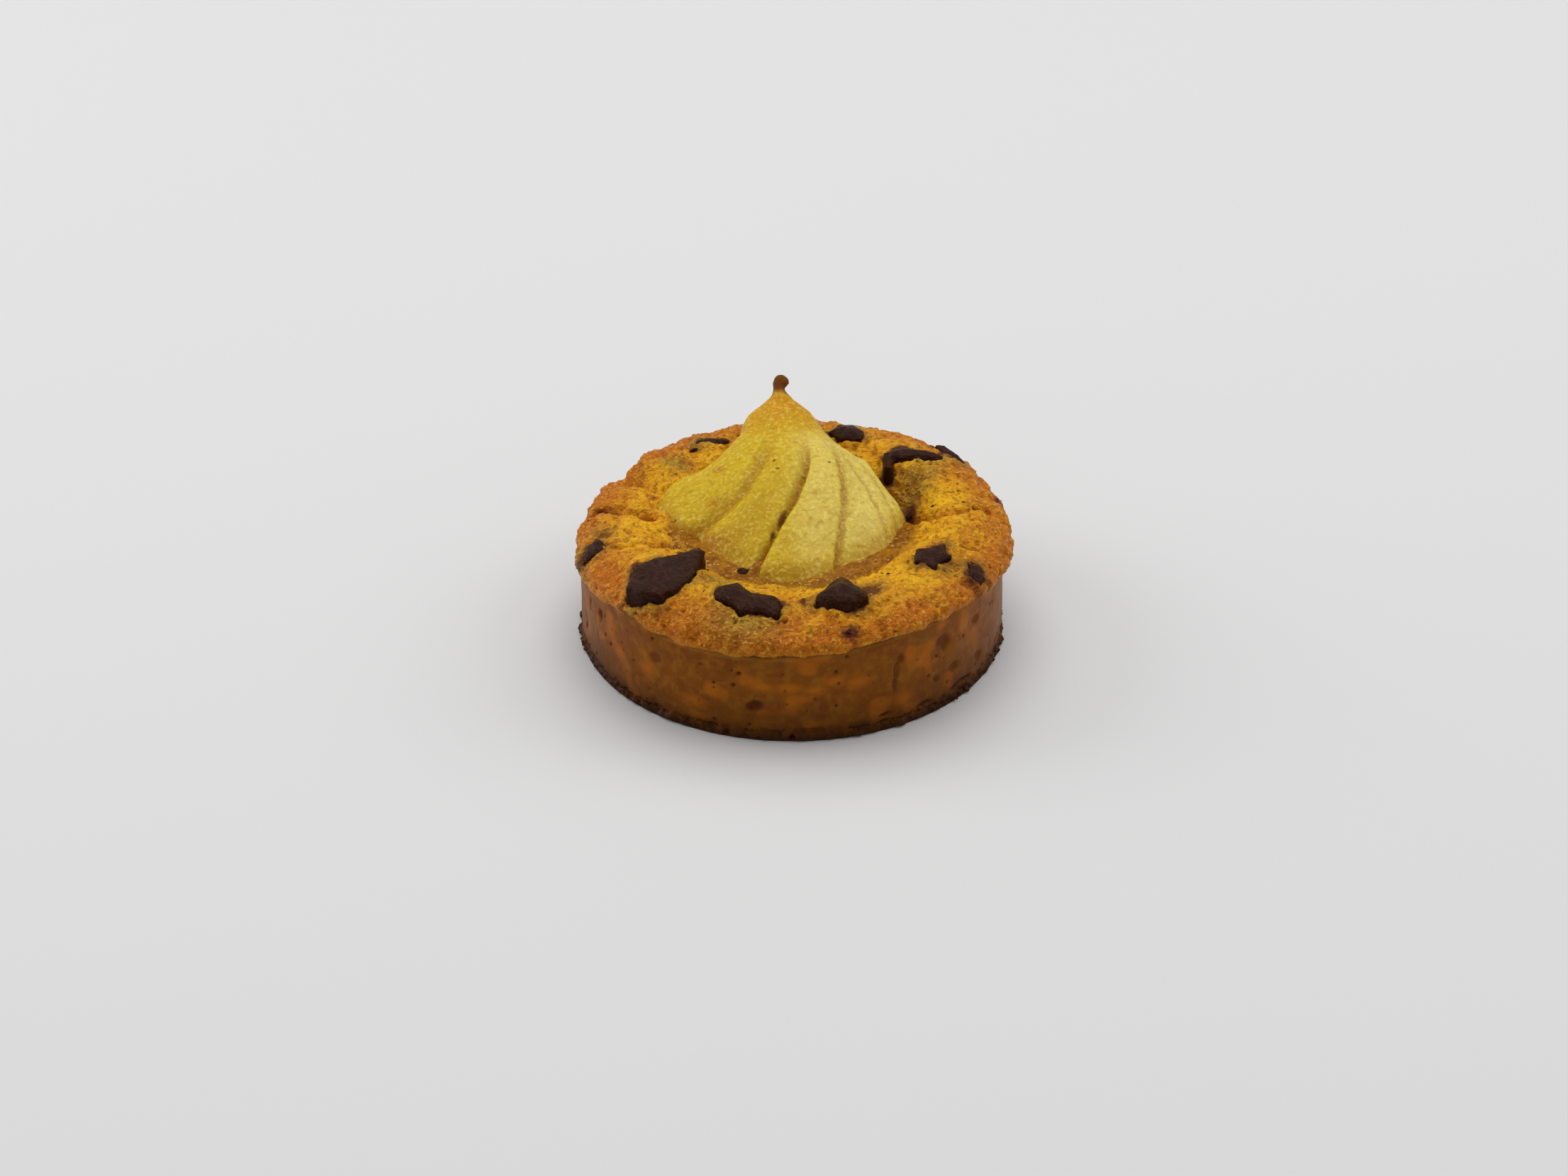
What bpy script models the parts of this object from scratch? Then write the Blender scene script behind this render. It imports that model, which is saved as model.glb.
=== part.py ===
"""Pear and almond tart: a shortcrust case, an almond filling, half a fanned pear and dark chocolate pieces.

Run with blender --background --python part.py, or from Blender's text editor.
Metres, +Z up. The origin is the middle of the underside, and the tart's front faces -Y.
"""

import math

import bmesh
import bpy
from mathutils import Matrix, Vector

MM = 0.001
GAP = 0.3 * MM  # between pieces that touch

# Shortcrust case, baked in a plain ring 80 mm across
CASE_RADIUS = 39.25 * MM
CASE_WALL = 3.0 * MM
CASE_FLOOR = 3.2 * MM
CASE_RIM = 17.1 * MM  # mean height of the rim, which waves with the dough
CASE_FOOT = 0.6 * MM  # the foot spreads a little at the ring's edge
TURN_STEPS = 96

# Almond filling, risen into a ring round a moist dip
LIP_RADIUS = 40.3 * MM  # the filling bulges over the case
LIP_DEPTH = 1.7 * MM  # widest line of the bulge, above the rim
CLEFT_ANGLE = 147.0  # the split in the ring, at the back on the left
CLEFT_DEPTH = 3.2 * MM
CLEFT_WIDTH = 2.4 * MM
CLEFT_NOTCH = 0.035  # how far the split cuts in from the side, as a share of the radius
CREST_RADIUS = 29.8 * MM
CREST_HEIGHT = 23.5 * MM
DIP_HEIGHT = 18.6 * MM
DIP_RADIUS = 15.5 * MM

# Half pear, cut lengthwise in six slices that hold together at the neck
PEAR_BED = 16.6 * MM  # lowest level of the cut face
PEAR_BED_RISE = 5.4 * MM  # how far the cut face rises towards the neck, onto the ring
SLICE_STATIONS = 13
SLICE_START_TOP = 28.3 * MM
SLICE_FALL_START = 0.4  # along the slice, where its top starts to fall to the rounded end
SLICE_CLOSE_START = 0.72  # along the slice, where its sides start to close in
SLICE_CLOSE = 0.6
SLICE_FOOT_SHARE = 0.94  # the foot of a slice is a little narrower than its top
SLICE_CROWN = ((-1.0, 0.125), (-0.6, 0.033), (0.0, 0.0), (0.6, 0.033), (1.0, 0.125))  # across, drop / width
STUB_FOOT = (-2.3 * MM, 34.6 * MM, 28.8 * MM)
STUB_TIP = (-2.2 * MM, 39.0 * MM, 31.0 * MM)
STUB_RADII = (1.4 * MM, 0.95 * MM)

# In mm: x, y at the neck, the middle and the end; widths there; height of the top at the middle and the end
PEAR_SLICES = (
    ((-4.6, 25.5), (-11.4, 12.2), (-23.4, 6.8), (6.0, 10.4, 15.0), (25.2, 20.4)),
    ((-0.6, 25.5), (-4.0, 8.0), (-15.4, -6.2), (6.0, 11.0, 15.0), (27.4, 19.6)),
    ((2.4, 25.5), (4.2, 7.0), (0.0, -14.8), (5.0, 9.4, 16.0), (28.4, 19.8)),
    ((4.2, 25.0), (10.0, 8.6), (12.4, -6.0), (5.0, 8.0, 11.6), (27.0, 20.0)),
    ((4.8, 24.5), (13.0, 9.6), (17.0, -3.8), (4.0, 4.6, 5.2), (25.6, 19.8)),
    ((5.0, 24.0), (13.6, 12.0), (19.2, 2.0), (4.0, 5.2, 7.0), (24.4, 19.9)),
)

# Sections of the neck, in mm: x, y, width, top, underside
PEAR_NECK = (
    (-0.4, 20.0, 17.0, 28.0, 20.0),
    (-1.2, 25.0, 15.8, 28.6, 22.0),
    (-1.8, 29.0, 14.2, 29.2, 23.4),
    (-2.0, 32.0, 11.4, 29.4, 24.4),
    (-2.0, 34.0, 8.0, 29.6, 25.2),
    (-2.2, 35.6, 4.8, 29.8, 26.4),
    (-2.2, 36.8, 2.9, 30.2, 27.6),
)

CHOCOLATE_BEVEL = 0.55 * MM  # worn edge of the top face
TILT_REACH = 3.5 * MM  # a piece lies along the filling's slope over this distance

# In mm: place of the middle, the corners going round anticlockwise from it, thickness, height that shows
CHOCOLATE = {
    "chocolate_slab_left": (
        (-23.4, -20.6),
        (
            (-4.4, 5.6), (-7.2, -2.6), (-6.8, -5.6), (-1.4, -6.0),
            (2.4, -3.2), (7.8, 3.4), (7.2, 5.6), (1.0, 6.6),
        ),
        5.0,
        0.9,
    ),
    "chocolate_front": (
        (-8.6, -26.8),
        (
            (-6.6, 4.0), (-6.0, 1.0), (-1.8, -2.6), (2.0, -5.2),
            (6.2, -4.8), (6.8, -0.4), (3.2, 1.2), (-1.6, 4.4),
        ),
        4.6,
        0.8,
    ),
    "chocolate_peak": (
        (9.8, -25.0),
        (
            (-5.8, -1.6), (-1.8, -3.6), (2.2, -5.2), (6.0, -1.4),
            (4.4, 2.4), (1.8, 4.6), (-1.4, 4.8), (-4.2, 1.8),
        ),
        5.2,
        1.2,
    ),
    "chocolate_star_right": (
        (25.6, -12.4),
        (
            (-3.0, 2.2), (-2.8, -1.0), (-0.6, -2.2), (0.8, -4.6), (2.2, -1.8),
            (3.8, 0.0), (2.4, 1.8), (2.2, 4.4), (-0.4, 3.4),
        ),
        4.4,
        0.8,
    ),
    "chocolate_bit_right": (
        (33.4, -17.0),
        ((-1.8, 2.2), (-1.6, -1.0), (0.8, -2.4), (1.8, -0.4), (0.8, 2.4)),
        2.6,
        0.5,
    ),
    "chocolate_left_edge": (
        (-36.2, -7.4),
        ((-2.0, -2.6), (0.6, -3.0), (2.4, 1.8), (1.6, 3.8), (-0.6, 1.8), (-1.8, -0.2)),
        2.4,
        0.5,
    ),
    "chocolate_back_left": (
        (-15.2, 27.6),
        ((-3.4, -0.6), (0.4, -1.4), (3.2, -1.0), (3.2, 0.2), (-0.6, 1.2), (-2.8, 1.0)),
        2.6,
        0.4,
    ),
    "chocolate_back_right": (
        (10.6, 29.6),
        ((-3.4, 0.2), (-1.0, -2.6), (2.8, -2.6), (3.4, 0.4), (1.6, 2.8), (-1.8, 2.6)),
        4.6,
        1.2,
    ),
    "chocolate_crescent": (
        (23.6, 21.4),
        (
            (-6.2, 0.6), (-6.0, -3.8), (-4.8, -4.6), (-4.0, -1.0), (0.6, -0.6),
            (4.0, -1.2), (5.2, 0.0), (2.2, 2.0), (-2.8, 2.8),
        ),
        4.0,
        0.9,
    ),
    "chocolate_far_edge": (
        (29.9, 23.0),
        ((-3.0, 3.2), (-1.2, 0.6), (1.8, -2.0), (3.2, -1.4), (1.0, 1.8), (-1.6, 4.0)),
        2.6,
        0.5,
    ),
    "chocolate_bit_front": (
        (-9.4, -13.8),
        ((-1.8, 0.2), (-0.4, -1.2), (1.6, -0.8), (1.4, 0.8), (-0.4, 1.2)),
        2.2,
        0.6,
    ),
}

COLOURS = {
    "shortcrust": ((0.20, 0.075, 0.018), 0.62),
    "almond_sponge": ((0.52, 0.20, 0.035), 0.55),
    "pear_flesh": ((0.60, 0.42, 0.085), 0.38),
    "dark_chocolate": ((0.032, 0.016, 0.011), 0.35),
}


def bump(angle, centre, width):
    """A smooth bump of height 1 round an angle, all in degrees."""
    off = (angle - centre + 180.0) % 360.0 - 180.0
    return math.exp(-((off / width) ** 2))


def smooth(low, high, value):
    t = min(max((value - low) / (high - low), 0.0), 1.0)
    return t * t * (3.0 - 2.0 * t)


def degrees_of(x, y):
    return math.degrees(math.atan2(y, x)) % 360.0


def rim_wave(angle):
    """How far the case's rim, and the filling's lower edge on it, stand above the mean height."""
    rise = 2.3 * bump(angle, 310.0, 34.0) + 1.4 * bump(angle, 221.0, 12.0)
    fall = 1.5 * bump(angle, 185.0, 22.0) + 1.7 * bump(angle, 0.0, 16.0)
    return (rise - fall) * MM


def crest_height(angle):
    """The ring's crest, with its lobes."""
    lobes = 0.7 * bump(angle, 238.0, 24.0) + 0.6 * bump(angle, 300.0, 30.0) + 0.8 * bump(angle, 55.0, 34.0)
    hollows = 2.3 * bump(angle, 164.0, 32.0) + 0.7 * bump(angle, 268.0, 12.0)
    return CREST_HEIGHT + (lobes - hollows) * MM


def dip_radius(angle):
    """The moist dip is wider to the right and behind on the right, where the pear doesn't cover it."""
    return DIP_RADIUS + (5.0 * bump(angle, 20.0, 45.0) + 3.0 * bump(angle, 160.0, 30.0)) * MM


def lip_spread(angle):
    """How far the ring bulges past its mean radius: more at the right and behind, less at the back left."""
    return (0.7 * bump(angle, 25.0, 45.0) - 0.6 * bump(angle, 163.0, 30.0)) * MM


def cleft(x, y):
    """The split in the ring, from 0 to 1."""
    direction = Vector((math.cos(math.radians(CLEFT_ANGLE)), math.sin(math.radians(CLEFT_ANGLE))))
    along = direction.x * x + direction.y * y
    across = direction.x * y - direction.y * x
    return math.exp(-((across / CLEFT_WIDTH) ** 2)) * smooth(21.0 * MM, 30.0 * MM, along)


def filling_height(x, y):
    """The top of the filling above the point x, y."""
    radius = math.hypot(x, y)
    angle = degrees_of(x, y)
    crest = crest_height(angle)
    if radius < CREST_RADIUS:
        height = DIP_HEIGHT + (crest - DIP_HEIGHT) * smooth(dip_radius(angle), CREST_RADIUS, radius)
    else:
        edge = CASE_RIM + rim_wave(angle) + LIP_DEPTH
        out = min((radius - CREST_RADIUS) / (LIP_RADIUS - CREST_RADIUS), 1.0)
        height = edge + (crest - edge) * math.sqrt(1.0 - out * out)
    return height - CLEFT_DEPTH * cleft(x, y) * (1.0 - smooth(36.0 * MM, LIP_RADIUS, radius))


def filling_tilt(x, y):
    """Turns +Z to the filling's surface at x, y."""
    slope_x = (filling_height(x + TILT_REACH, y) - filling_height(x - TILT_REACH, y)) / (2 * TILT_REACH)
    slope_y = (filling_height(x, y + TILT_REACH) - filling_height(x, y - TILT_REACH)) / (2 * TILT_REACH)
    normal = Vector((-slope_x, -slope_y, 1.0))
    return Vector((0.0, 0.0, 1.0)).rotation_difference(normal).to_matrix().to_4x4()


def new_material(name):
    colour, roughness = COLOURS[name]
    material = bpy.data.materials.new(name)
    material.use_nodes = True
    shader = material.node_tree.nodes["Principled BSDF"]
    shader.inputs["Base Color"].default_value = (*colour, 1.0)
    shader.inputs["Roughness"].default_value = roughness
    shader.inputs["Metallic"].default_value = 0.0
    return material


def new_collection(name):
    collection = bpy.data.collections.new(name)
    bpy.context.scene.collection.children.link(collection)
    return collection


def new_object(name, mesh, collection, material=None):
    obj = bpy.data.objects.new(name, mesh)
    collection.objects.link(obj)
    if material:
        mesh.materials.append(material)
    return obj


def evaluated_mesh(obj):
    """The object's mesh with its modifiers applied."""
    graph = bpy.context.evaluated_depsgraph_get()
    return bpy.data.meshes.new_from_object(obj.evaluated_get(graph), depsgraph=graph)


def apply_modifiers(obj):
    mesh = evaluated_mesh(obj)
    old = obj.data
    obj.modifiers.clear()
    obj.data = mesh
    bpy.data.meshes.remove(old)


def turned(name, profile, collection, material):
    """A solid of revolution from a profile that starts and ends on the axis."""
    mesh = bpy.data.meshes.new(name)
    points = [(radius, 0.0, height) for radius, height in profile]
    mesh.from_pydata(points, [(i, i + 1) for i in range(len(points) - 1)], [])
    obj = new_object(name, mesh, collection, material)
    screw = obj.modifiers.new("turn", "SCREW")
    screw.steps = TURN_STEPS
    screw.render_steps = TURN_STEPS
    screw.use_merge_vertices = True
    screw.merge_threshold = 0.00001
    screw.use_smooth_shade = True
    apply_modifiers(obj)
    return obj


def case_profile():
    inner = CASE_RADIUS - CASE_WALL
    yield 0.0, CASE_FLOOR
    yield inner * 0.5, CASE_FLOOR
    yield inner - 0.8 * MM, CASE_FLOOR
    yield inner, CASE_FLOOR + 0.8 * MM
    yield inner, CASE_RIM
    yield CASE_RADIUS - 0.9 * MM, CASE_RIM
    yield CASE_RADIUS, CASE_RIM - 0.9 * MM
    yield CASE_RADIUS, CASE_RIM * 0.5
    yield CASE_RADIUS, CASE_FOOT * 3.0
    yield CASE_RADIUS + CASE_FOOT, CASE_FOOT
    yield CASE_RADIUS + CASE_FOOT * 0.4, 0.0
    yield 0.0, 0.0


def make_case(collection, material):
    case = turned("shortcrust_case", list(case_profile()), collection, material)
    for vertex in case.data.vertices:
        if vertex.co.z > CASE_RIM - 1.0 * MM:
            vertex.co.z += rim_wave(degrees_of(vertex.co.x, vertex.co.y))
    return case


def filling_profile():
    for step in range(4):
        yield DIP_RADIUS * step / 4.0, DIP_HEIGHT
    slope_steps = 8
    for step in range(slope_steps):
        t = step / slope_steps
        height = DIP_HEIGHT + (CREST_HEIGHT - DIP_HEIGHT) * t
        yield DIP_RADIUS + (CREST_RADIUS - DIP_RADIUS) * t, height
    edge = CASE_RIM + LIP_DEPTH
    bulge_steps = 6
    for step in range(bulge_steps + 1):
        turn = math.radians(90.0 * step / bulge_steps)
        radius = CREST_RADIUS + (LIP_RADIUS - CREST_RADIUS) * math.sin(turn)
        yield radius, edge + (CREST_HEIGHT - edge) * math.cos(turn)
    inner = CASE_RADIUS - CASE_WALL - GAP
    yield LIP_RADIUS - 0.35 * MM, CASE_RIM + GAP + 0.5 * MM
    yield CASE_RADIUS + GAP, CASE_RIM + GAP
    yield inner, CASE_RIM + GAP
    yield inner, CASE_FLOOR + GAP + 1.0 * MM
    yield inner - 1.0 * MM, CASE_FLOOR + GAP
    yield 0.0, CASE_FLOOR + GAP


def make_filling(collection, material):
    filling = turned("almond_filling", list(filling_profile()), collection, material)
    top = CASE_RIM + LIP_DEPTH - 0.01 * MM
    for vertex in filling.data.vertices:
        x, y, z = vertex.co
        if z > top:
            vertex.co.z = filling_height(x, y)
        elif z > CASE_RIM:
            vertex.co.z += rim_wave(degrees_of(x, y))
        radius = math.hypot(x, y)
        if z > CASE_RIM + GAP + 0.1 * MM and radius > CREST_RADIUS:
            out = (radius - CREST_RADIUS) / (LIP_RADIUS - CREST_RADIUS)
            spread = 1.0 - CLEFT_NOTCH * cleft(x, y) + out * lip_spread(degrees_of(x, y)) / radius
            vertex.co.x *= spread
            vertex.co.y *= spread
    return filling


def loft(name, rings, collection):
    """A closed solid through rings of points that go round the same way."""
    bm = bmesh.new()
    rows = [[bm.verts.new(point) for point in ring] for ring in rings]
    sides = len(rows[0])
    for first, second in zip(rows, rows[1:]):
        for i in range(sides):
            j = (i + 1) % sides
            bm.faces.new((first[i], first[j], second[j], second[i]))
    bm.faces.new(rows[0][::-1])
    bm.faces.new(rows[-1])
    bmesh.ops.triangulate(bm, faces=bm.faces[:])
    bmesh.ops.recalc_face_normals(bm, faces=bm.faces[:])
    mesh = bpy.data.meshes.new(name)
    bm.to_mesh(mesh)
    bm.free()
    return new_object(name, mesh, collection)


def through(values, t):
    """The parabola that passes three values at t = 0, 0.5 and 1."""
    first, middle, last = values
    return first * (1 - t) * (1 - 2 * t) + middle * 4 * t * (1 - t) + last * t * (2 * t - 1)


def slice_rings(shape, grow):
    """Cross-sections of one pear slice, from the neck to the rounded end. grow makes it larger all round."""
    start, middle, end, widths, tops = shape
    steps = [i / (SLICE_STATIONS - 1) for i in range(SLICE_STATIONS)]
    places = list(zip(start, middle, end))
    centre = [Vector([through(places[0], t), through(places[1], t)]) * MM for t in steps]
    middle_top, end_top = (top * MM for top in tops)
    for i, (t, point) in enumerate(zip(steps, centre)):
        ahead = (centre[min(i + 1, SLICE_STATIONS - 1)] - centre[max(i - 1, 0)]).normalized()
        side = Vector((-ahead.y, ahead.x))
        width = through(widths, t) * MM
        closing = max((t - SLICE_CLOSE_START) / (1.0 - SLICE_CLOSE_START), 0.0)
        half = 0.5 * width * math.sqrt(1.0 - SLICE_CLOSE * closing**2) + grow
        falling = max((t - SLICE_FALL_START) / (1.0 - SLICE_FALL_START), 0.0)
        top = end_top + (middle_top - end_top) * math.sqrt(1.0 - falling**2)
        if t < 0.5:
            top = middle_top + (SLICE_START_TOP - middle_top) * (1.0 - smooth(0.0, 0.5, t))
        under = PEAR_BED + PEAR_BED_RISE * (1.0 - smooth(0.0, 0.55, t)) - grow
        if t == 1.0:
            point = point + ahead * grow
        crown = [(point + side * half * across, top - drop * width + grow) for across, drop in SLICE_CROWN]
        foot = [(point + side * half * SLICE_FOOT_SHARE * across, under) for across in (1.0, -1.0)]
        yield [Vector((place.x, place.y, height)) for place, height in crown + foot]


def neck_rings(grow):
    """Half-round cross-sections of the neck."""
    arc_steps = 8
    for section in PEAR_NECK:
        x, y, width, top, under = (value * MM for value in section)
        half = width * 0.5 + grow
        ring = []
        for step in range(arc_steps + 1):
            turn = math.pi * step / arc_steps
            rise = (top - under + 2.0 * grow) * max(math.sin(turn), 0.0) ** 0.8
            ring.append(Vector((x - half * math.cos(turn), y, under - grow + rise)))
        yield ring


def make_stub(name, collection, grow):
    """The short browned stem."""
    low, high = Vector(STUB_FOOT), Vector(STUB_TIP)
    along = high - low
    turn = Vector((0.0, 0.0, 1.0)).rotation_difference(along).to_matrix().to_4x4()
    place = Matrix.Translation((low + high) / 2.0) @ turn
    wide, narrow = (radius + grow for radius in STUB_RADII)
    bm = bmesh.new()
    bmesh.ops.create_cone(
        bm, cap_ends=True, segments=8, radius1=wide, radius2=narrow, depth=along.length, matrix=place
    )
    mesh = bpy.data.meshes.new(name)
    bm.to_mesh(mesh)
    bm.free()
    return new_object(name, mesh, collection)


def pear_forms(collection, grow):
    """The slices, the neck and the stub as overlapping solids."""
    forms = []
    for number, shape in enumerate(PEAR_SLICES, 1):
        forms.append(loft(f"slice_{number}", list(slice_rings(shape, grow)), collection))
    forms.append(loft("neck", list(neck_rings(grow)), collection))
    forms.append(make_stub("stub", collection, grow))
    return forms


def hide_helper(obj):
    obj.hide_render = True
    obj.display_type = "WIRE"


def boolean(obj, operation, collection, solver="EXACT"):
    modifier = obj.modifiers.new(operation.lower(), "BOOLEAN")
    modifier.operation = operation
    modifier.operand_type = "COLLECTION"
    modifier.collection = collection
    modifier.solver = solver
    apply_modifiers(obj)
    for helper in list(collection.objects):
        bpy.data.objects.remove(helper)
    bpy.data.collections.remove(collection)


def make_pear(collection, material):
    joined = new_collection("pear_joined")
    forms = pear_forms(joined, 0.0)
    pear = forms.pop()
    joined.objects.unlink(pear)
    collection.objects.link(pear)
    for form in forms:
        hide_helper(form)
    pear.name = "fanned_pear"
    boolean(pear, "UNION", joined)
    pear.data.materials.clear()
    pear.data.materials.append(material)
    return pear


def grown_outline(corners, grow):
    """The corners moved out square to the outline, which goes round anticlockwise."""
    points = [Vector((x, y, 0.0)) * MM for x, y in corners]
    grown = []
    for i, point in enumerate(points):
        before = (point - points[i - 1]).normalized()
        after = (points[(i + 1) % len(points)] - point).normalized()
        out = Vector((before.y + after.y, -before.x - after.x, 0.0)).normalized()
        square = Vector((after.y, -after.x, 0.0))
        grown.append(point + out * grow / max(out.dot(square), 0.35))
    return grown


def chocolate_mesh(name, corners, thickness, grow):
    """A broken slab with worn edges, its top face at the middle of its own frame."""
    bm = bmesh.new()
    outline = grown_outline(corners, grow)
    bottom = bm.faces.new([bm.verts.new(point - Vector((0, 0, thickness * MM + grow))) for point in outline])
    made = bmesh.ops.extrude_face_region(bm, geom=[bottom])
    lift = Vector((0.0, 0.0, thickness * MM + 2 * grow))
    raised = [item for item in made["geom"] if isinstance(item, bmesh.types.BMVert)]
    bmesh.ops.translate(bm, verts=raised, vec=lift)
    bmesh.ops.recalc_face_normals(bm, faces=bm.faces[:])
    if not grow:
        edges = [edge for edge in bm.edges if all(vert in raised for vert in edge.verts)]
        bmesh.ops.bevel(bm, geom=edges, offset=CHOCOLATE_BEVEL, segments=2, affect="EDGES", profile=0.6)
    bmesh.ops.triangulate(bm, faces=bm.faces[:])
    mesh = bpy.data.meshes.new(name)
    bm.to_mesh(mesh)
    bm.free()
    return mesh


def place_chocolate(obj, place, showing):
    x, y = place[0] * MM, place[1] * MM
    tilt = filling_tilt(x, y)
    up = tilt.to_3x3() @ Vector((0.0, 0.0, showing * MM))
    obj.matrix_world = Matrix.Translation(Vector((x, y, filling_height(x, y))) + up) @ tilt


def make_chocolate(collection, material, cutters):
    for name, (place, corners, thickness, showing) in CHOCOLATE.items():
        piece = new_object(name, chocolate_mesh(name, corners, thickness, 0.0), collection, material)
        place_chocolate(piece, place, showing)
        hollow = chocolate_mesh(name + "_pocket", corners, thickness, GAP)
        pocket = new_object(name + "_pocket", hollow, cutters)
        place_chocolate(pocket, place, showing)
        hide_helper(pocket)


def make_tart():
    for obj in list(bpy.data.objects):
        bpy.data.objects.remove(obj)
    tart = new_collection("pear_almond_tart")
    pockets = new_collection("pockets")
    materials = {name: new_material(name) for name in COLOURS}
    make_case(tart, materials["shortcrust"])
    filling = make_filling(tart, materials["almond_sponge"])
    make_pear(tart, materials["pear_flesh"])
    make_chocolate(tart, materials["dark_chocolate"], pockets)
    for form in pear_forms(pockets, GAP):
        hide_helper(form)
    boolean(filling, "DIFFERENCE", pockets)
    for obj in tart.objects:
        obj.data.set_sharp_from_angle(angle=math.radians(40.0))


make_tart()
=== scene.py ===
"""Pear almond tart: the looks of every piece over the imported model, as an add-on's panel and operators."""

import itertools
import math

import bmesh
import bpy
import numpy as np
from bpy.props import FloatProperty, FloatVectorProperty, IntProperty, PointerProperty
from mathutils import Matrix, Vector


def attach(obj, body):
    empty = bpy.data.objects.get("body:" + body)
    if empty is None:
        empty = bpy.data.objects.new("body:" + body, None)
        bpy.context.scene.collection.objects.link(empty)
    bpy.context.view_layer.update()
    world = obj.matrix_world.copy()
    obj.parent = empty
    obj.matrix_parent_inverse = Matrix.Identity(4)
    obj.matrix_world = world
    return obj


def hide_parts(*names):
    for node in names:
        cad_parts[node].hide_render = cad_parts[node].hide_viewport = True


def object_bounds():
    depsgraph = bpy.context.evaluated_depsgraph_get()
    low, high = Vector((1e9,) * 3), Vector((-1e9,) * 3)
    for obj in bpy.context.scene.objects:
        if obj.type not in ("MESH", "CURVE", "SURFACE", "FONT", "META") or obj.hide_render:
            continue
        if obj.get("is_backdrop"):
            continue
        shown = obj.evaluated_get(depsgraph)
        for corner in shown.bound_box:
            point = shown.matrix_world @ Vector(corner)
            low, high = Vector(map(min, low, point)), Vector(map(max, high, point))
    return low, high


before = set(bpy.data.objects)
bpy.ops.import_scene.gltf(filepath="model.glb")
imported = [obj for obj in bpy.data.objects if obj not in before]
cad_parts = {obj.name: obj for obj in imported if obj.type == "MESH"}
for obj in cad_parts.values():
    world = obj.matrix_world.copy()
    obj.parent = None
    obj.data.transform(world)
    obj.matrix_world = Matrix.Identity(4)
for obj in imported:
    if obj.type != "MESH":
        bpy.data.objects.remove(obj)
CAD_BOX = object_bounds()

bl_info = {
    "name": "Pear Almond Tart",
    "version": (1, 0, 0),
    "blender": (4, 5, 0),
    "location": "3D View > Sidebar > Tart",
    "description": "A small shortcrust tart with almond filling, half a fanned pear and dark chocolate",
    "category": "Object",
}

MM = 0.001

# All sizes below are in millimetres, and angles in degrees from +X towards +Y.

# Shortcrust case
CASE_RADIUS = 39.25
CASE_INNER = 36.25
CASE_FLOOR = 3.2
CASE_RIM = 17.1
CASE_FOOT = 0.45
FOOT_HEIGHT = 1.8
RIM_EDGE = 0.9
CRACK_DEPTH = 1.1
SHALLOW_DIMPLES = 34
SHALLOW_DEPTH = 0.16
CASE_COLUMNS = 900
WALL_STEP = 0.23

# Almond filling
LIP_RADIUS = 40.3
LIP_DEPTH = 1.7
CLEFT_ANGLE = 147.0
CLEFT_DEPTH = 3.2
CLEFT_WIDTH = 2.4
CLEFT_NOTCH = 0.035
CREST_RADIUS = 29.8
CREST_HEIGHT = 23.5
DIP_HEIGHT = 18.6
DIP_RADIUS = 15.5
WELT_HEIGHT = 0.5
FILLING_GAP = 0.3
FILLING_COLUMNS = 720
FILLING_STEP = 0.27
LIP_STEPS = 44
LIP_TUCK = 1.25

# How far these swing round the tart: height, angle, width
RIM_WAVES = ((2.3, 310.0, 34.0), (1.4, 221.0, 12.0), (-1.5, 185.0, 22.0), (-1.7, 0.0, 16.0))
CREST_WAVES = ((0.7, 238.0, 24.0), (0.6, 300.0, 30.0), (0.8, 55.0, 34.0), (-2.3, 164.0, 32.0), (-0.7, 268.0, 12.0))
DIP_WAVES = ((5.0, 20.0, 45.0), (3.0, 160.0, 30.0))
LIP_WAVES = ((0.7, 25.0, 45.0), (-0.6, 163.0, 30.0))
BROWNED_WAVES = ((0.15, 90.0, 60.0), (-0.15, 0.0, 40.0), (-0.1, 295.0, 25.0))

# Round hollows and swellings of the filling: place, radii along and across, turn, lift
MOUNDS = (
    ((-33.6, 10.8), (3.6, 2.6), 165.0, 0.8),
    ((-33.0, 0.9), (3.8, 3.0), 178.0, 0.9),
    ((-34.8, -2.4), (2.7, 1.5), 150.0, -1.1),
    ((-28.5, -17.5), (7.0, 5.0), 210.0, 0.5),
    ((-24.8, 9.6), (2.3, 1.8), 20.0, -1.5),
    ((22.6, 12.2), (4.6, 4.0), 0.0, -0.9),
    ((21.9, 8.0), (1.2, 2.4), -20.0, -0.7),
    ((30.2, -3.4), (4.8, 3.4), 10.0, 0.8),
    ((31.8, 10.0), (3.6, 5.2), 0.0, 0.5),
    ((18.0, -31.5), (6.0, 3.4), -30.0, 0.4),
    ((-3.4, -31.0), (3.2, 2.6), 0.0, 0.35),
    ((-20.0, -12.6), (3.2, 2.2), 40.0, -0.6),
    ((26.4, -24.6), (5.0, 3.0), -45.0, 0.35),
    ((-1.0, -18.8), (6.0, 1.5), -4.0, 0.6),
)

# Splits and folds of the filling: points along it, half width, depth
FOLDS = (
    (((-38.5, 7.6), (-35.4, 6.9), (-31.3, 5.3), (-26.5, 5.0)), 1.1, 1.7),
    (((-38.5, -4.6), (-36.2, -5.2), (-32.2, -8.1), (-27.6, -8.1), (-22.6, -5.0)), 1.1, 1.4),
    (((21.7, 6.7), (24.1, 4.0), (27.3, 1.4), (29.9, 1.4), (32.9, 3.2), (36.4, 4.4)), 0.75, 1.1),
    (((-30.6, 15.1), (-28.0, 13.6), (-26.0, 12.0)), 0.9, 0.9),
    (((6.0, -33.0), (7.6, -35.6), (10.2, -37.2)), 0.7, 0.5),
    (((31.6, -9.6), (35.0, -12.2), (38.0, -13.4)), 0.8, 0.5),
)

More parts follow.
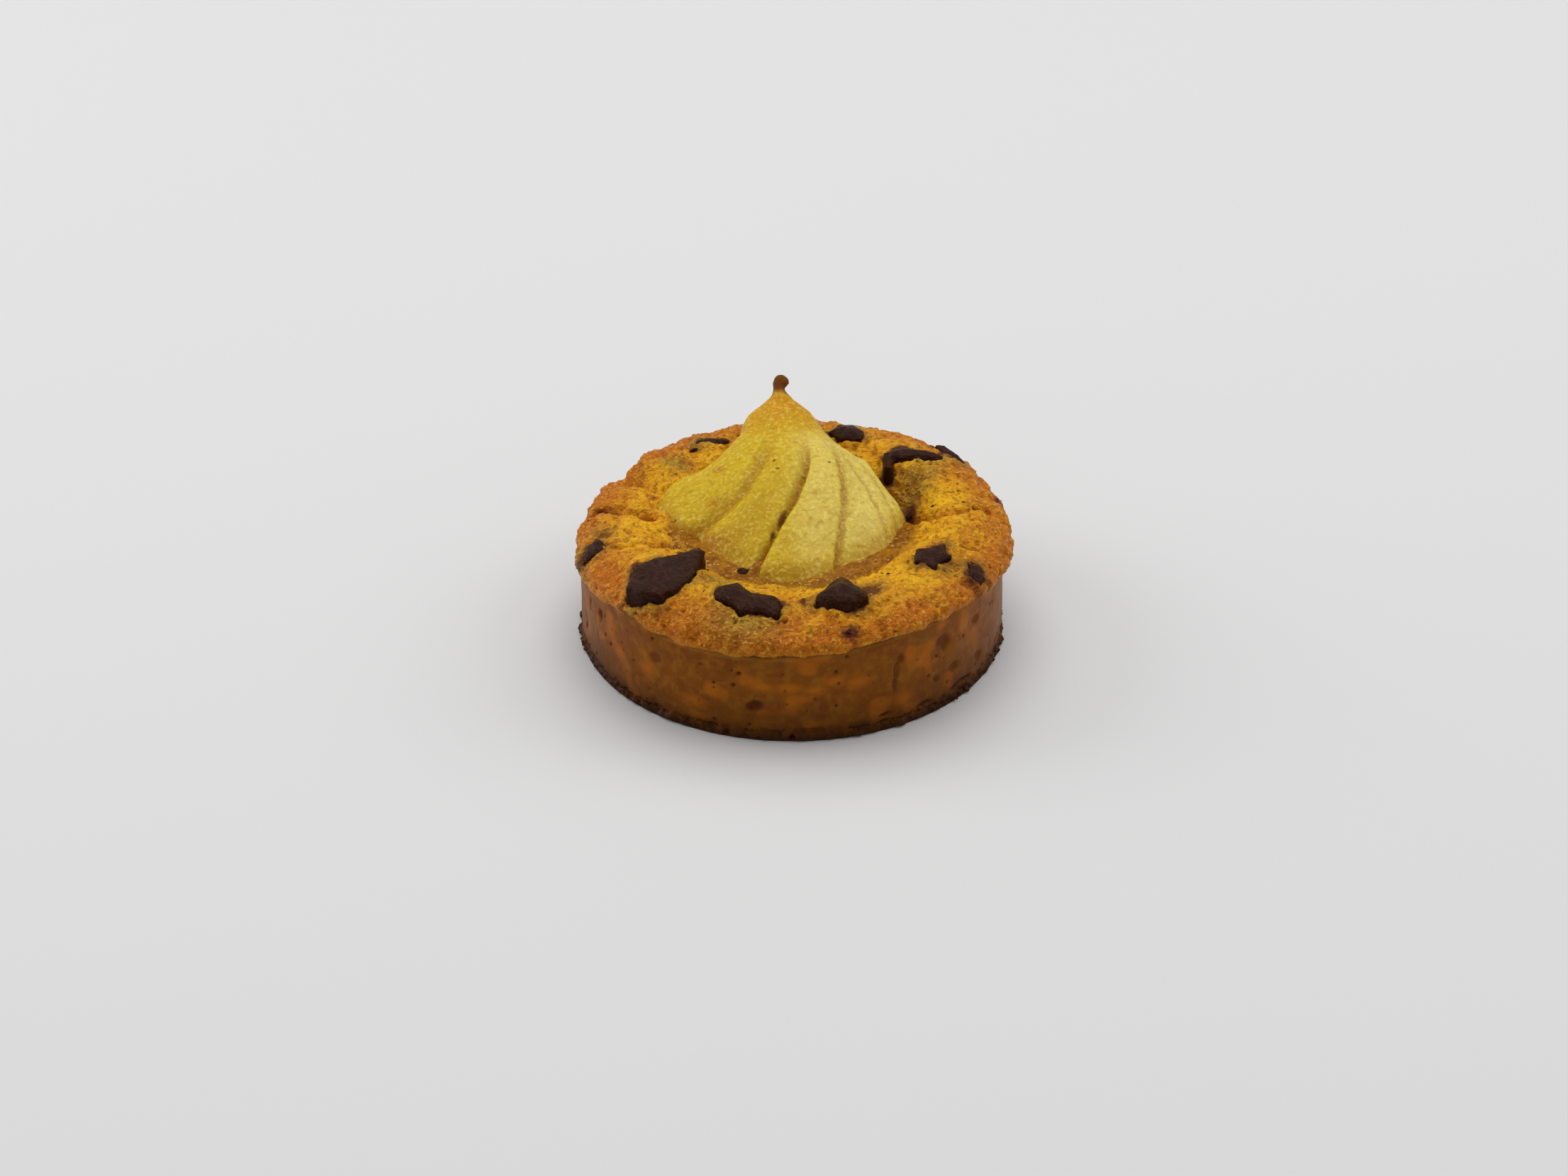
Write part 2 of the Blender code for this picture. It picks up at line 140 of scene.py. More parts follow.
# Dark marks that melted chocolate left: place, radii, turn
STAINS = (
    ((21.9, 8.0), (1.7, 2.9), -20.0),
    ((10.2, -37.3), (1.7, 1.2), 0.0),
    ((-35.0, 7.2), (2.2, 0.55), 150.0),
    ((14.3, -26.6), (2.3, 3.6), -15.0),
    ((2.5, -28.7), (1.6, 2.0), 0.0),
    ((25.5, -15.2), (3.8, 5.0), 0.0),
    ((33.2, -19.0), (2.5, 3.6), 0.0),
    ((38.6, 10.2), (0.8, 1.2), 15.0),
    ((28.9, 23.1), (1.1, 0.9), 0.0),
    ((-20.4, -8.2), (1.3, 0.5), 30.0),
)

# Places where the filling stayed greenish and moist: place, radii, turn
KHAKI = (
    ((-34.8, -2.4), (2.9, 1.7), 150.0),
    ((22.6, 12.0), (4.4, 4.2), 0.0),
    ((-8.5, -34.8), (6.6, 3.6), -12.0),
    ((26.0, -16.6), (4.6, 2.6), -40.0),
    ((-14.0, -21.0), (4.4, 3.4), 20.0),
    ((24.0, 15.5), (4.6, 2.8), 10.0),
    ((-22.0, 21.6), (3.6, 2.2), 140.0),
)

# Places where it stayed bright yellow: place, radii, turn
GOLDEN = (
    ((-3.0, -18.4), (7.0, 1.6), -4.0),
    ((17.6, -17.0), (4.6, 2.6), 30.0),
    ((27.5, 6.5), (2.4, 3.0), 0.0),
    ((-25.3, 18.4), (4.6, 3.0), 140.0),
    ((-29.0, 0.0), (4.0, 2.6), 0.0),
    ((-29.5, -9.0), (2.2, 1.4), -30.0),
    ((24.0, -23.0), (4.0, 3.0), 40.0),
)

# Pits in the wall, dented and painted dark with shade; the two largest, near 260 degrees, are also a real dark
# red-brown spot: angle, height, half width, half height, depth
PITS = (
    (255.9, 13.6, 0.42, 0.36, 0.45),
    (254.3, 11.0, 0.40, 0.34, 0.45),
    (248.9, 10.8, 0.30, 0.28, 0.40),
    (281.5, 14.2, 0.36, 0.34, 0.45),
    (284.3, 17.2, 0.34, 0.30, 0.40),
    (281.6, 7.0, 0.30, 0.26, 0.40),
    (249.1, 3.1, 0.34, 0.30, 0.40),
    (258.7, 3.0, 0.30, 0.26, 0.40),
    (260.4, 7.2, 1.30, 1.05, 0.45),
    (258.8, 6.7, 1.00, 0.80, 0.40),
    (199.5, 13.0, 0.30, 1.00, 0.40),
    (206.9, 13.2, 0.62, 1.05, 0.45),
    (194.7, 5.9, 0.35, 0.60, 0.35),
    (212.6, 9.0, 0.30, 0.32, 0.35),
    (309.0, 8.2, 0.34, 0.30, 0.35),
    (322.4, 12.6, 0.30, 0.34, 0.35),
)
DIMPLES = (
    (299.6, 14.3, 0.8, 1.3, 0.40),
    (298.4, 11.9, 0.7, 2.0, 0.45),
    (298.0, 9.0, 0.6, 1.8, 0.35),
    (313.7, 13.9, 1.9, 1.8, 0.50),
    (318.2, 7.3, 1.4, 1.2, 0.55),
    (311.7, 6.7, 0.9, 0.8, 0.40),
    (328.0, 14.2, 1.4, 0.9, 0.35),
    (231.0, 12.0, 1.6, 1.3, 0.30),
    (330.0, 5.5, 1.4, 1.2, 0.35),
)
BLOTCHES = (
    (262.1, 11.2, 2.2, 1.0), (268.9, 11.1, 2.6, 1.1), (276.0, 10.6, 2.2, 0.9),
    (281.0, 12.4, 2.0, 1.1), (287.3, 11.5, 2.2, 1.2), (259.2, 7.0, 1.5, 0.8),
    (243.0, 6.0, 2.4, 1.2), (301.0, 5.4, 2.0, 1.4), (228.0, 9.0, 2.0, 1.6),
)
# The crack over the foot, at the right of the front: angle, height
FOOT_CRACK = (
    (274.0, 2.5), (284.0, 2.4), (289.0, 2.0), (293.6, 3.3), (299.8, 2.8), (305.0, 2.2), (318.0, 2.6), (345.0, 3.4),
)

# Half pear, cut in six slices. The seams run from the neck to the rounded ends: x, y, height of the slices' lips
PEAR_BED = 16.8
PEAR_SEAMS = (
    ((-7.9, 29.2, 26.6), (-11.0, 24.6, 25.8), (-14.1, 20.3, 24.4), (-18.2, 17.3, 22.8), (-22.5, 16.3, 21.2),
     (-25.3, 11.4, 19.9), (-26.0, 4.6, 18.7)),
    ((-3.0, 26.5, 28.0), (-4.4, 17.5, 27.6), (-6.6, 11.3, 26.6), (-9.4, 5.8, 24.8), (-13.1, 2.5, 22.6),
     (-16.4, 0.6, 20.6), (-19.8, -1.4, 18.7)),
    ((2.0, 25.6, 28.0), (3.3, 13.6, 28.0), (2.2, 6.5, 27.0), (0.4, 1.4, 25.4), (-2.4, -4.5, 23.2),
     (-4.7, -9.2, 21.0), (-7.7, -16.2, 18.8)),
    ((4.6, 26.2, 27.6), (8.3, 14.0, 27.8), (9.2, 7.1, 26.6), (9.3, 2.1, 25.0), (8.7, -3.5, 23.0),
     (8.0, -8.6, 21.0), (7.4, -14.4, 18.8)),
    ((5.2, 26.6, 27.2), (9.5, 17.0, 26.8), (11.8, 12.4, 25.8), (13.6, 8.9, 24.8), (16.1, 2.5, 22.8),
     (17.4, -1.3, 20.8), (18.2, -7.0, 18.8)),
    ((5.6, 27.2, 26.6), (10.3, 18.6, 26.4), (13.0, 15.7, 25.4), (15.4, 12.1, 24.0), (17.6, 7.8, 22.2),
     (19.0, 3.8, 20.6), (20.0, -0.2, 18.9)),
    ((5.6, 28.4, 25.6), (8.4, 23.0, 26.2), (10.8, 19.9, 25.4), (14.1, 18.6, 24.6), (16.8, 13.8, 22.8),
     (19.9, 9.6, 20.8), (22.2, 3.8, 18.9)),
)
# Each slice: rise of its crown over its lips as a share of its width, how far and over what width its left and
# right lips drop, and where it dives into the filling
PEAR_CROWNS = (
    (0.08, (0.3, 0.8), (0.8, 1.8), 0.86),
    (0.075, (0.9, 1.6), (1.7, 1.3), 0.84),
    (0.07, (0.2, 0.5), (0.3, 0.4), 0.88),
    (0.05, (0.9, 1.6), (0.2, 0.5), 0.76),
    (0.05, (0.6, 0.9), (0.2, 0.5), 0.82),
    (0.08, (0.6, 0.9), (0.3, 0.7), 0.86),
)
PEAR_DIVE = 1.3
# Painted golden-brown shade along the cuts: seam, width to its left and right, strength
PEAR_CREASES = (
    (1, 1.5, 1.3, 0.75), (2, 1.5, 0.45, 1.0), (3, 0.35, 1.3, 0.85), (4, 0.3, 0.8, 0.55), (5, 0.3, 0.6, 0.4),
)
# Painted shade on the belly of the second slice, which faces down to the left, and the golden streak down the
# neck: place, radii, turn
PEAR_SHADE = ((-9.0, -3.5), (12.0, 4.0), 55.0)
PEAR_STREAK = ((-2.9, 30.0), (1.7, 7.0), 0.0)
# Where the fibres run out from
FAN_MIDDLE = (-2.0, 40.0)
# Golden patches and dark specks on the flesh: place, radii, turn
PEAR_PATCHES = (
    ((-13.7, 14.1), (1.4, 1.2), 0.0), ((-14.5, 5.2), (1.6, 1.2), 20.0), ((-18.4, -1.6), (4.0, 2.6), 0.0),
    ((-15.0, -3.4), (4.5, 2.2), -20.0),
)
PEAR_SPECKS = (
    ((-21.8, 4.2), (0.35, 0.35), 0.0), ((-3.3, 13.1), (0.4, 0.45), 0.0), ((-2.7, 10.3), (0.5, 0.35), 0.0),
    ((7.0, 12.1), (0.35, 0.35), 0.0), ((-1.9, -1.3), (0.6, 2.2), -25.0), ((-3.6, -4.8), (0.4, 1.0), -25.0),
)
# Sections of the neck: x, y, width, top, underside
PEAR_NECK = (
    (-0.6, 17.0, 12.0, 26.6, 19.4),
    (-0.8, 21.0, 14.6, 28.2, 20.0),
    (-1.4, 25.0, 17.2, 28.8, 22.0),
    (-1.9, 29.0, 16.4, 29.2, 23.4),
    (-2.1, 32.0, 13.4, 29.4, 24.4),
    (-2.1, 34.0, 9.4, 29.6, 25.2),
    (-2.2, 35.6, 5.2, 29.8, 26.4),
    (-2.2, 36.8, 2.9, 30.2, 27.6),
)
# The stub: x, y, z, radius
STUB = (
    (-2.3, 34.4, 28.6, 1.6),
    (-2.4, 35.8, 29.2, 1.3),
    (-2.5, 36.8, 29.7, 1.0),
    (-2.3, 37.6, 30.1, 1.2),
    (-1.8, 38.3, 30.4, 1.45),
    (-1.2, 38.8, 30.5, 1.2),
    (-0.9, 39.0, 30.4, 0.6),
)
PEAR_VOXEL = 0.25

# Chocolate: place, corners anticlockwise from it, thickness, height that shows, rise of the ridge from the edge,
# rise of the top towards the front
CHOCOLATE = {
    "chocolate_slab_left": (
        (-23.0, -20.7),
        (
            (-5.5, 2.1), (-4.2, 3.3), (-1.7, 4.6), (0.8, 5.8), (4.0, 6.8), (6.3, 8.6), (7.2, 6.2),
            (6.0, 2.8), (4.9, -3.0), (2.4, -6.4), (-0.1, -8.6), (-4.0, -7.9), (-7.0, -5.9), (-6.7, -5.0),
            (-6.1, -2.2),
        ),
        5.0, 0.95, 0.06, 0.03,
    ),
    "chocolate_front": (
        (-8.0, -29.3),
        (
            (-6.3, 0.9), (-5.7, 2.3), (-3.1, 4.2), (-1.9, 4.6), (0.9, 1.5), (5.4, 0.6), (6.3, -2.9),
            (5.4, -5.2), (3.0, -4.7), (0.1, -4.2), (-1.2, -4.4), (-2.7, -2.2), (-5.9, -0.9),
        ),
        4.6, 0.75, 0.28, 0.0,
    ),
    "chocolate_peak": (
        (8.8, -27.0),
        (
            (-4.7, -4.5), (-4.5, -2.4), (-3.2, -0.6), (-1.9, 3.0), (0.5, 5.4), (2.3, 1.5), (3.5, -1.0),
            (4.6, -2.9), (4.7, -4.7), (2.2, -6.5), (-1.0, -5.4),
        ),
        5.2, 1.1, 0.42, 0.0,
    ),
    "chocolate_star_right": (
        (25.5, -15.4),
        (
            (-3.0, 3.0), (-3.4, -1.9), (-1.4, -2.7), (0.1, -4.9), (1.0, -2.4), (3.4, -0.2), (2.6, 1.8),
            (2.4, 4.9), (0.1, 3.3),
        ),
        4.4, 0.9, 0.25, 0.06,
    ),
    "chocolate_bit_right": (
        (33.4, -18.8), ((-1.8, 2.2), (-1.6, -1.0), (0.8, -2.4), (1.8, -0.4), (0.8, 2.4)), 2.6, 0.5, 0.15, 0.0,
    ),
    "chocolate_left_edge": (
        (-36.5, -8.0),
        (
            (0.9, 3.0), (2.0, 1.3), (1.8, -1.3), (0.2, -2.5), (-1.5, -3.0), (-2.0, -1.2), (-1.2, 1.2),
        ),
        2.4, 0.6, 0.15, 0.0,
    ),
    "chocolate_back_left": (
        (-15.2, 28.2),
        ((-3.4, -0.6), (0.4, -1.4), (3.2, -1.0), (3.2, 0.2), (-0.6, 1.2), (-2.8, 1.0)),
        2.6, 0.4, 0.15, 0.0,
    ),
    "chocolate_back_right": (
        (10.4, 28.4),
        ((-3.4, 0.2), (-1.0, -2.6), (2.8, -2.6), (3.4, 0.4), (1.6, 2.8), (-1.8, 2.6)),
        4.6, 1.2, 0.35, 0.05,
    ),
    "chocolate_crescent": (
        (23.4, 20.0),
        (
            (-6.2, 0.6), (-6.0, -3.8), (-4.8, -4.6), (-4.0, -1.0), (0.6, -0.6),
            (4.0, -1.2), (5.2, 0.0), (2.2, 2.0), (-2.8, 2.8),
        ),
        4.0, 0.9, 0.30, 0.0,
    ),
    "chocolate_far_edge": (
        (29.9, 23.0),
        ((-3.0, 3.2), (-1.2, 0.6), (1.8, -2.0), (3.2, -1.4), (1.0, 1.8), (-1.6, 4.0)),
        2.6, 1.1, 0.35, 0.0,
    ),
    "chocolate_bit_front": (
        (-8.8, -12.4),
        ((-1.8, 0.2), (-0.4, -1.2), (1.6, -0.8), (1.4, 0.8), (-0.4, 1.2)),
        2.2, 0.9, 0.25, 0.0,
    ),
}
TILT_REACH = 3.5
CHOCOLATE_VOXEL = 0.2
BITS_VOXEL = 0.12
POCKET_DEPTH = 1.4

# Small bits and smears of chocolate: place, radii along and across, turn, height
CHOCOLATE_BITS = (
    ((21.8, 8.0), (0.55, 0.9), -20.0, 0.25),
    ((26.2, 5.4), (0.4, 0.3), 20.0, 0.3),
    ((28.0, 2.7), (0.32, 0.25), 0.0, 0.25),
    ((29.9, 3.0), (0.28, 0.22), 40.0, 0.25),
    ((31.9, 4.7), (0.36, 0.26), 0.0, 0.25),
    ((-29.4, 14.2), (1.2, 0.6), 30.0, 0.45),
    ((-35.1, 7.3), (1.9, 0.45), 150.0, 0.4),
    ((12.0, 33.2), (1.1, 0.6), 10.0, 0.45),
    ((15.2, 33.0), (0.8, 0.5), -20.0, 0.4),
    ((10.0, -37.3), (0.5, 0.35), 0.0, 0.25),
    ((-18.6, 25.4), (0.9, 0.35), 20.0, 0.35),
    ((-9.6, 29.8), (0.8, 0.4), -10.0, 0.35),
    ((17.4, -20.2), (0.45, 0.35), 0.0, 0.3),
    ((-15.6, -27.2), (0.5, 0.4), 50.0, 0.3),
)

# Where the syrup stands over the filling: place, radii, turn, rise. It stays low before the third slice
SYRUP_POOLS = (
    ((-22.6, -1.6), (3.6, 2.0), 130.0, 0.6),
    ((-15.6, -9.8), (7.6, 2.8), 130.0, 0.7),
    ((15.6, -9.8), (5.0, 2.6), 30.0, 0.5),
    ((-6.2, -11.0), (3.8, 1.0), 65.6, 1.0),
)
SYRUP_LOW = ((0.8, -15.6), (7.6, 3.4), 0.0)
SYRUP_REACH = 25.0
SYRUP_FLOOR = 17.6
SYRUP_COLUMNS = 200
# Where it foams: along the end of the second slice and up the cut beside it
FROTH = (
    (-23.0, -0.5), (-21.0, -3.4), (-18.4, -6.9), (-14.6, -10.4), (-11.3, -11.9), (-8.2, -12.8), (-6.7, -9.4),
    (-5.1, -5.9),
)
# The pear's footprint, round which the syrup climbs
PEAR_FOOT = (
    (-24.6, 5.4), (-18.7, -0.4), (-7.4, -15.2), (7.3, -12.8), (17.8, -6.3), (21.4, 4.3), (16.5, 13.6), (-21.7, 15.8),
)

# Inputs of the relief, in metres, and what each piece gives them. The filling and the pear give the first four in the
# code, some of them from the user's settings, so their rows hold the rest
RELIEF_INPUTS = {
    "Swelling Size": 0.006, "Swelling Height": 0.0001, "Lump Size": 0.0012, "Lump Height": 0.00005,
    "Grain Size": 0.0004, "Grain Height": 0.00002, "Pore Spacing": 0.001, "Pore Depth": 0.0001,
    "Pore Share": 0.4, "Seed": 0.0,
}
CASE_RELIEF = (0.007, 0.0005, 0.0016, 0.00012, 0.0006, 0.00007, 0.0013, 0.00012, 0.25, 1.0)
FILLING_GRAIN = (0.0006, 0.00065, 0.0013, 0.0006, 0.28, 2.0)
PEAR_GRAIN = (0.0006, 0.00014, 0.0022, 0.0001, 0.2, 3.0)
CHOCOLATE_RELIEF = (0.003, 0.0003, 0.0009, 0.00018, 0.0005, 0.00008, 0.0016, 0.00012, 0.25, 4.0)
BITS_RELIEF = (0.001, 0.0005, 0.0005, 0.0002, 0.0003, 0.00005, 0.001, 0.0, 0.0, 5.0)

# Inputs of the strewn crumbs and bubbles, in metres
SCATTER_INPUTS = {
    "Crumbs Per Square Metre": 100000.0, "Smallest": 0.0002, "Largest": 0.0005, "Flatness": 0.6,
    "Roughness": 0.0002, "Seed": 1,
}
BUBBLES = (1400000.0, 0.0002, 0.0005, 1.0, 0.0, 7)
ALMOND_CRUMBS = (500000.0, 0.00012, 0.00036, 0.8, 0.00016, 8)
SHORTCRUST_CRUMBS = (700000.0, 0.00012, 0.0004, 0.8, 0.00016, 9)
CRUMB_NOISE = 2600.0

# Soft lights: name, place and size in metres, share of the top light's power
LIGHTS = (
    ("light_top", (0.0, 0.35, 1.1), 1.2, 1.0),
    ("light_left", (-1.0, 0.25, 0.5), 0.7, 0.49),
    ("light_right", (0.95, 0.25, 0.75), 0.7, 0.36),
)

CAMERA_RISE = 32.04
CAMERA_AWAY = 750.0
CAMERA_AIM = (-1.48, 0.0, 7.82)
CAMERA_LENS = 5659.0 / 2212.0 * 36.0


# Plain tools

def linear(code):
    """A hex colour as linear red, green and blue."""
    parts = [int(code[i:i + 2], 16) / 255.0 for i in (1, 3, 5)]
    return tuple(c / 12.92 if c <= 0.04045 else ((c + 0.055) / 1.055) ** 2.4 for c in parts)


def add(tree, kind, inputs=None, **settings):
    """Adds a node. inputs maps a socket's name or number to a value or to another node's output."""
    node = tree.nodes.new(kind)
    for name, value in settings.items():
        setattr(node, name, value)
    for key, value in (inputs or {}).items():
        if isinstance(value, bpy.types.NodeSocket):
            tree.links.new(value, node.inputs[key])
        else:
            node.inputs[key].default_value = value
    return node


def turned(degrees):
    """Cosine and sine of an angle."""
    return math.cos(math.radians(degrees)), math.sin(math.radians(degrees))


def bump(angle, centre, width):
    """A smooth bump of height 1 round an angle."""
    off = (angle - centre + 180.0) % 360.0 - 180.0
    return np.exp(-((off / width) ** 2))


def waves(angle, parts):
    """The sum of bumps: height, centre, width."""
    return sum(height * bump(angle, centre, width) for height, centre, width in parts)


def smooth(low, high, value):
    t = np.clip((value - low) / (high - low), 0.0, 1.0)
    return t * t * (3.0 - 2.0 * t)


def polar(angle, radius, height):
    """Points from angles, radii and heights."""
    turn = np.radians(angle)
    return np.stack([np.cos(turn) * radius, np.sin(turn) * radius, height], 1)


def mound(x, y, place, radii, turn):
    """A smooth mound of height 1, longer along the turned direction."""
    c, s = turned(turn)
    along = ((x - place[0]) * c + (y - place[1]) * s) / radii[0]
    across = ((y - place[1]) * c - (x - place[0]) * s) / radii[1]
    return np.exp(-(along**2) - across**2)


def marks(x, y, places):
    """The highest of the mounds at those places."""
    return np.max([mound(x, y, *place) for place in places], axis=0)


def line_distance(x, y, points):
    """How far each x, y is from a chain of straight lines."""
    nearest = np.full(np.shape(x), 1e9)
    for (ax, ay), (bx, by) in zip(points, points[1:]):
        dx, dy = bx - ax, by - ay
        t = np.clip(((x - ax) * dx + (y - ay) * dy) / (dx * dx + dy * dy), 0.0, 1.0)
        nearest = np.minimum(nearest, np.hypot(x - ax - t * dx, y - ay - t * dy))
    return nearest


def near_line(x, y, points, width):
    """1 along a chain of lines, and less over that width beside it."""
    return np.exp(-((line_distance(x, y, points) / width) ** 2))


def outline_distance(x, y, corners):
    """How far each x, y is outside a closed outline, below zero inside it."""
    loop = list(corners) + [corners[0]]
    inside = np.zeros(np.shape(x), bool)
    for (ax, ay), (bx, by) in zip(loop, loop[1:]):
        crosses = (ay > y) != (by > y)
        inside ^= crosses & (x < ax + (y - ay) * (bx - ax) / ((by - ay) or 1e-9))
    away = line_distance(x, y, loop)
    return np.where(inside, -away, away)


def cloud(points, size, seed):
    """Smooth noise from -1 to 1 in lumps of that size, for an array of points."""
    table = np.random.default_rng(seed).uniform(-1.0, 1.0, (32, 32, 32))
    place = points / size
    cell = np.floor(place).astype(int)
    part = place - cell
    part = part * part * (3.0 - 2.0 * part)
    total = np.zeros(len(points))
    for corner in itertools.product((0, 1), repeat=3):
        index = (cell + corner) % 32
        weight = np.prod(np.where(corner, part, 1.0 - part), axis=1)
        total += table[index[:, 0], index[:, 1], index[:, 2]] * weight
    return total


def ring_faces(rows, columns):
    """Quads between rings of points, each ring closed on itself."""
    start = np.arange(rows - 1)[:, None] * columns
    here = np.arange(columns)[None, :]
    there = (here + 1) % columns
    quads = np.stack([start + here, start + there, start + columns + there, start + columns + here], axis=-1)
    return quads.reshape(-1, 4)


def fan_faces(first, columns, centre):
    """Triangles that close a ring with a centre point."""
    here = np.arange(columns)
    return np.stack([first + here, first + (here + 1) % columns, np.full(columns, centre)], axis=-1)


def rings(rows, columns):
    """One array for each value that the rows give, as one number for a ring or one for each column."""
    return [np.concatenate([np.broadcast_to(value, columns) for value in values]) for values in zip(*rows)]


def closed_rings(points, columns, *middles):
    """Points and faces of a shell of rings, closed at its first and last ring by a middle point."""
    count = len(points)
    faces = [
        ring_faces(count // columns, columns),
        fan_faces(0, columns, count)[:, ::-1],
        fan_faces(count - columns, columns, count + 1),
    ]
    return np.concatenate([points, middles]), faces


def turned_inside_out(points, faces):
    """True if the faces of a closed shell point inwards."""
    volume = 0.0
    for face in faces:
        corners = points[face]
        for i in range(1, face.shape[1] - 1):
            volume += np.einsum("ij,ij->", corners[:, 0], np.cross(corners[:, i], corners[:, i + 1]))
    return volume < 0.0


def linked(name, data):
    """A new object with that mesh, light or camera, in the scene."""
    obj = bpy.data.objects.new(name, data)
    bpy.context.scene.collection.objects.link(obj)
    return obj


def from_bmesh(name, bm):
    mesh = bpy.data.meshes.new(name)
    bm.to_mesh(mesh)
    bm.free()
    return linked(name, mesh)


def new_piece(name, points, faces, fields=None):
    """A mesh object from points in millimetres and arrays of faces, with fields that are 0 at the middle points."""
    if turned_inside_out(points, faces):
        faces = [face[:, ::-1] for face in faces]
    mesh = bpy.data.meshes.new(name)
    mesh.from_pydata((points * MM).tolist(), [], [corner for face in faces for corner in face.tolist()])
    mesh.polygons.foreach_set("use_smooth", np.ones(len(mesh.polygons), bool))
    for label, values in (fields or {}).items():
        set_field(mesh, label, np.append(values, np.zeros(len(points) - len(values))))
    return linked(name, mesh)


def set_field(mesh, name, values):
    """Keeps one number for each point, for the materials and for the relief."""
    layer = mesh.attributes.get(name) or mesh.attributes.new(name, "FLOAT", "POINT")
    layer.data.foreach_set("value", np.asarray(values, np.float32))


def points_of(mesh):
    points = np.empty(len(mesh.vertices) * 3, np.float32)
    mesh.vertices.foreach_get("co", points)
    return points.reshape(-1, 3).astype(float) / MM


def set_points(mesh, points):
    mesh.vertices.foreach_set("co", (points * MM).astype(np.float32).ravel())
    mesh.update()


def normals_of(mesh):
    normals = np.empty(len(mesh.vertices) * 3, np.float32)
    mesh.vertex_normals.foreach_get("vector", normals)
    return normals.reshape(-1, 3).astype(float)


def relaxed(mesh, points, rounds):
    """The points after each has moved to the mean of its neighbours that many times."""
    edges = np.empty(len(mesh.edges) * 2, np.int32)
    mesh.edges.foreach_get("vertices", edges)
    first, second = edges.reshape(-1, 2).T
    count = len(points)
    neighbours = np.maximum(np.bincount(first, minlength=count) + np.bincount(second, minlength=count), 1)
    for _ in range(rounds):
        total = np.stack([
            np.bincount(first, points[second, axis], count) + np.bincount(second, points[first, axis], count)
            for axis in range(3)
        ], axis=1)
        points = total / neighbours[:, None]
    return points


def hollowness(mesh, rounds, depth):
    """From 1 in a hollow of that depth to -1 on an edge as high. The materials paint shade into hollows and light onto
    edges by it.
    """
    points = points_of(mesh)
    lift = np.einsum("ij,ij->i", relaxed(mesh, points, rounds) - points, normals_of(mesh))
    return np.clip(lift / depth, -1.0, 1.0)


def keep_evaluated(obj):
    """Turns the object with its modifiers into a plain mesh."""
    graph = bpy.context.evaluated_depsgraph_get()
    mesh = bpy.data.meshes.new_from_object(obj.evaluated_get(graph), depsgraph=graph)
    old = obj.data
    obj.modifiers.clear()
    obj.data = mesh
    bpy.data.meshes.remove(old)


def run_tree(obj, tree, values):
    """Runs a Geometry Nodes tree on the object, with its inputs by name, and keeps the result as a plain mesh."""
    modifier = obj.modifiers.new(tree.name, "NODES")
    modifier.node_group = tree
    for item in tree.interface.items_tree:
        if item.item_type == "SOCKET" and item.in_out == "INPUT" and item.name in values:
            modifier[item.identifier] = values[item.name]
    keep_evaluated(obj)


def remeshed(obj, voxel):
    modifier = obj.modifiers.new("skin", "REMESH")
    modifier.mode = "VOXEL"
    modifier.voxel_size = voxel * MM
    modifier.use_smooth_shade = True
    keep_evaluated(obj)


def declare(obj, slot, *nodes):
    """The piece rides on the tart and stands for the named nodes, which it hides. The slot is not used."""
    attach(obj, "root")
    if nodes:
        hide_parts(*nodes)


# Geometry Nodes

def out(tree, kind, inputs=None, **settings):
    """The first output of a new node."""
    return add(tree, kind, inputs, **settings).outputs[0]


def calc(tree, operation, first, second):
    return out(tree, "ShaderNodeMath", {0: first, 1: second}, operation=operation)


def new_tree(name, sockets):
    """A tree with a Geometry input and output, the named inputs and a material. Returns it with its inputs."""
    tree = bpy.data.node_groups.new(name, "GeometryNodeTree")
    tree.interface.new_socket("Geometry", in_out="INPUT", socket_type="NodeSocketGeometry")
    for label, value in sockets.items():
        kind = "NodeSocketInt" if isinstance(value, int) else "NodeSocketFloat"
        tree.interface.new_socket(label, in_out="INPUT", socket_type=kind).default_value = value
    tree.interface.new_socket("Material", in_out="INPUT", socket_type="NodeSocketMaterial")
    tree.interface.new_socket("Geometry", in_out="OUTPUT", socket_type="NodeSocketGeometry")
    return tree, add(tree, "NodeGroupInput").outputs


def end_tree(tree, geometry, material):
    """Ends a tree as the export needs it: real faces with their material."""
    real = out(tree, "GeometryNodeRealizeInstances", {"Geometry": geometry})
    painted = out(tree, "GeometryNodeSetMaterial", {"Geometry": real, "Material": material})
    add(tree, "NodeGroupOutput", {"Geometry": painted})


def centred_noise(tree, spot, **inputs):
    """Noise from about -0.5 to 0.5, four-dimensional if it is given a W."""
    dimensions = "4D" if "W" in inputs else "3D"
    noise = out(
        tree, "ShaderNodeTexNoise", {"Vector": spot, **inputs, "Scale": 1.0, "Detail": 1.0},
        noise_dimensions=dimensions,
    )
    return calc(tree, "SUBTRACT", noise, 0.5)


def pushed(tree, geometry, height):
    """Moves a surface along its normals."""
    normal = out(tree, "GeometryNodeInputNormal")
    offset = out(tree, "ShaderNodeVectorMath", {0: normal, "Scale": height}, operation="SCALE")
    return out(tree, "GeometryNodeSetPosition", {"Geometry": geometry, "Offset": offset})


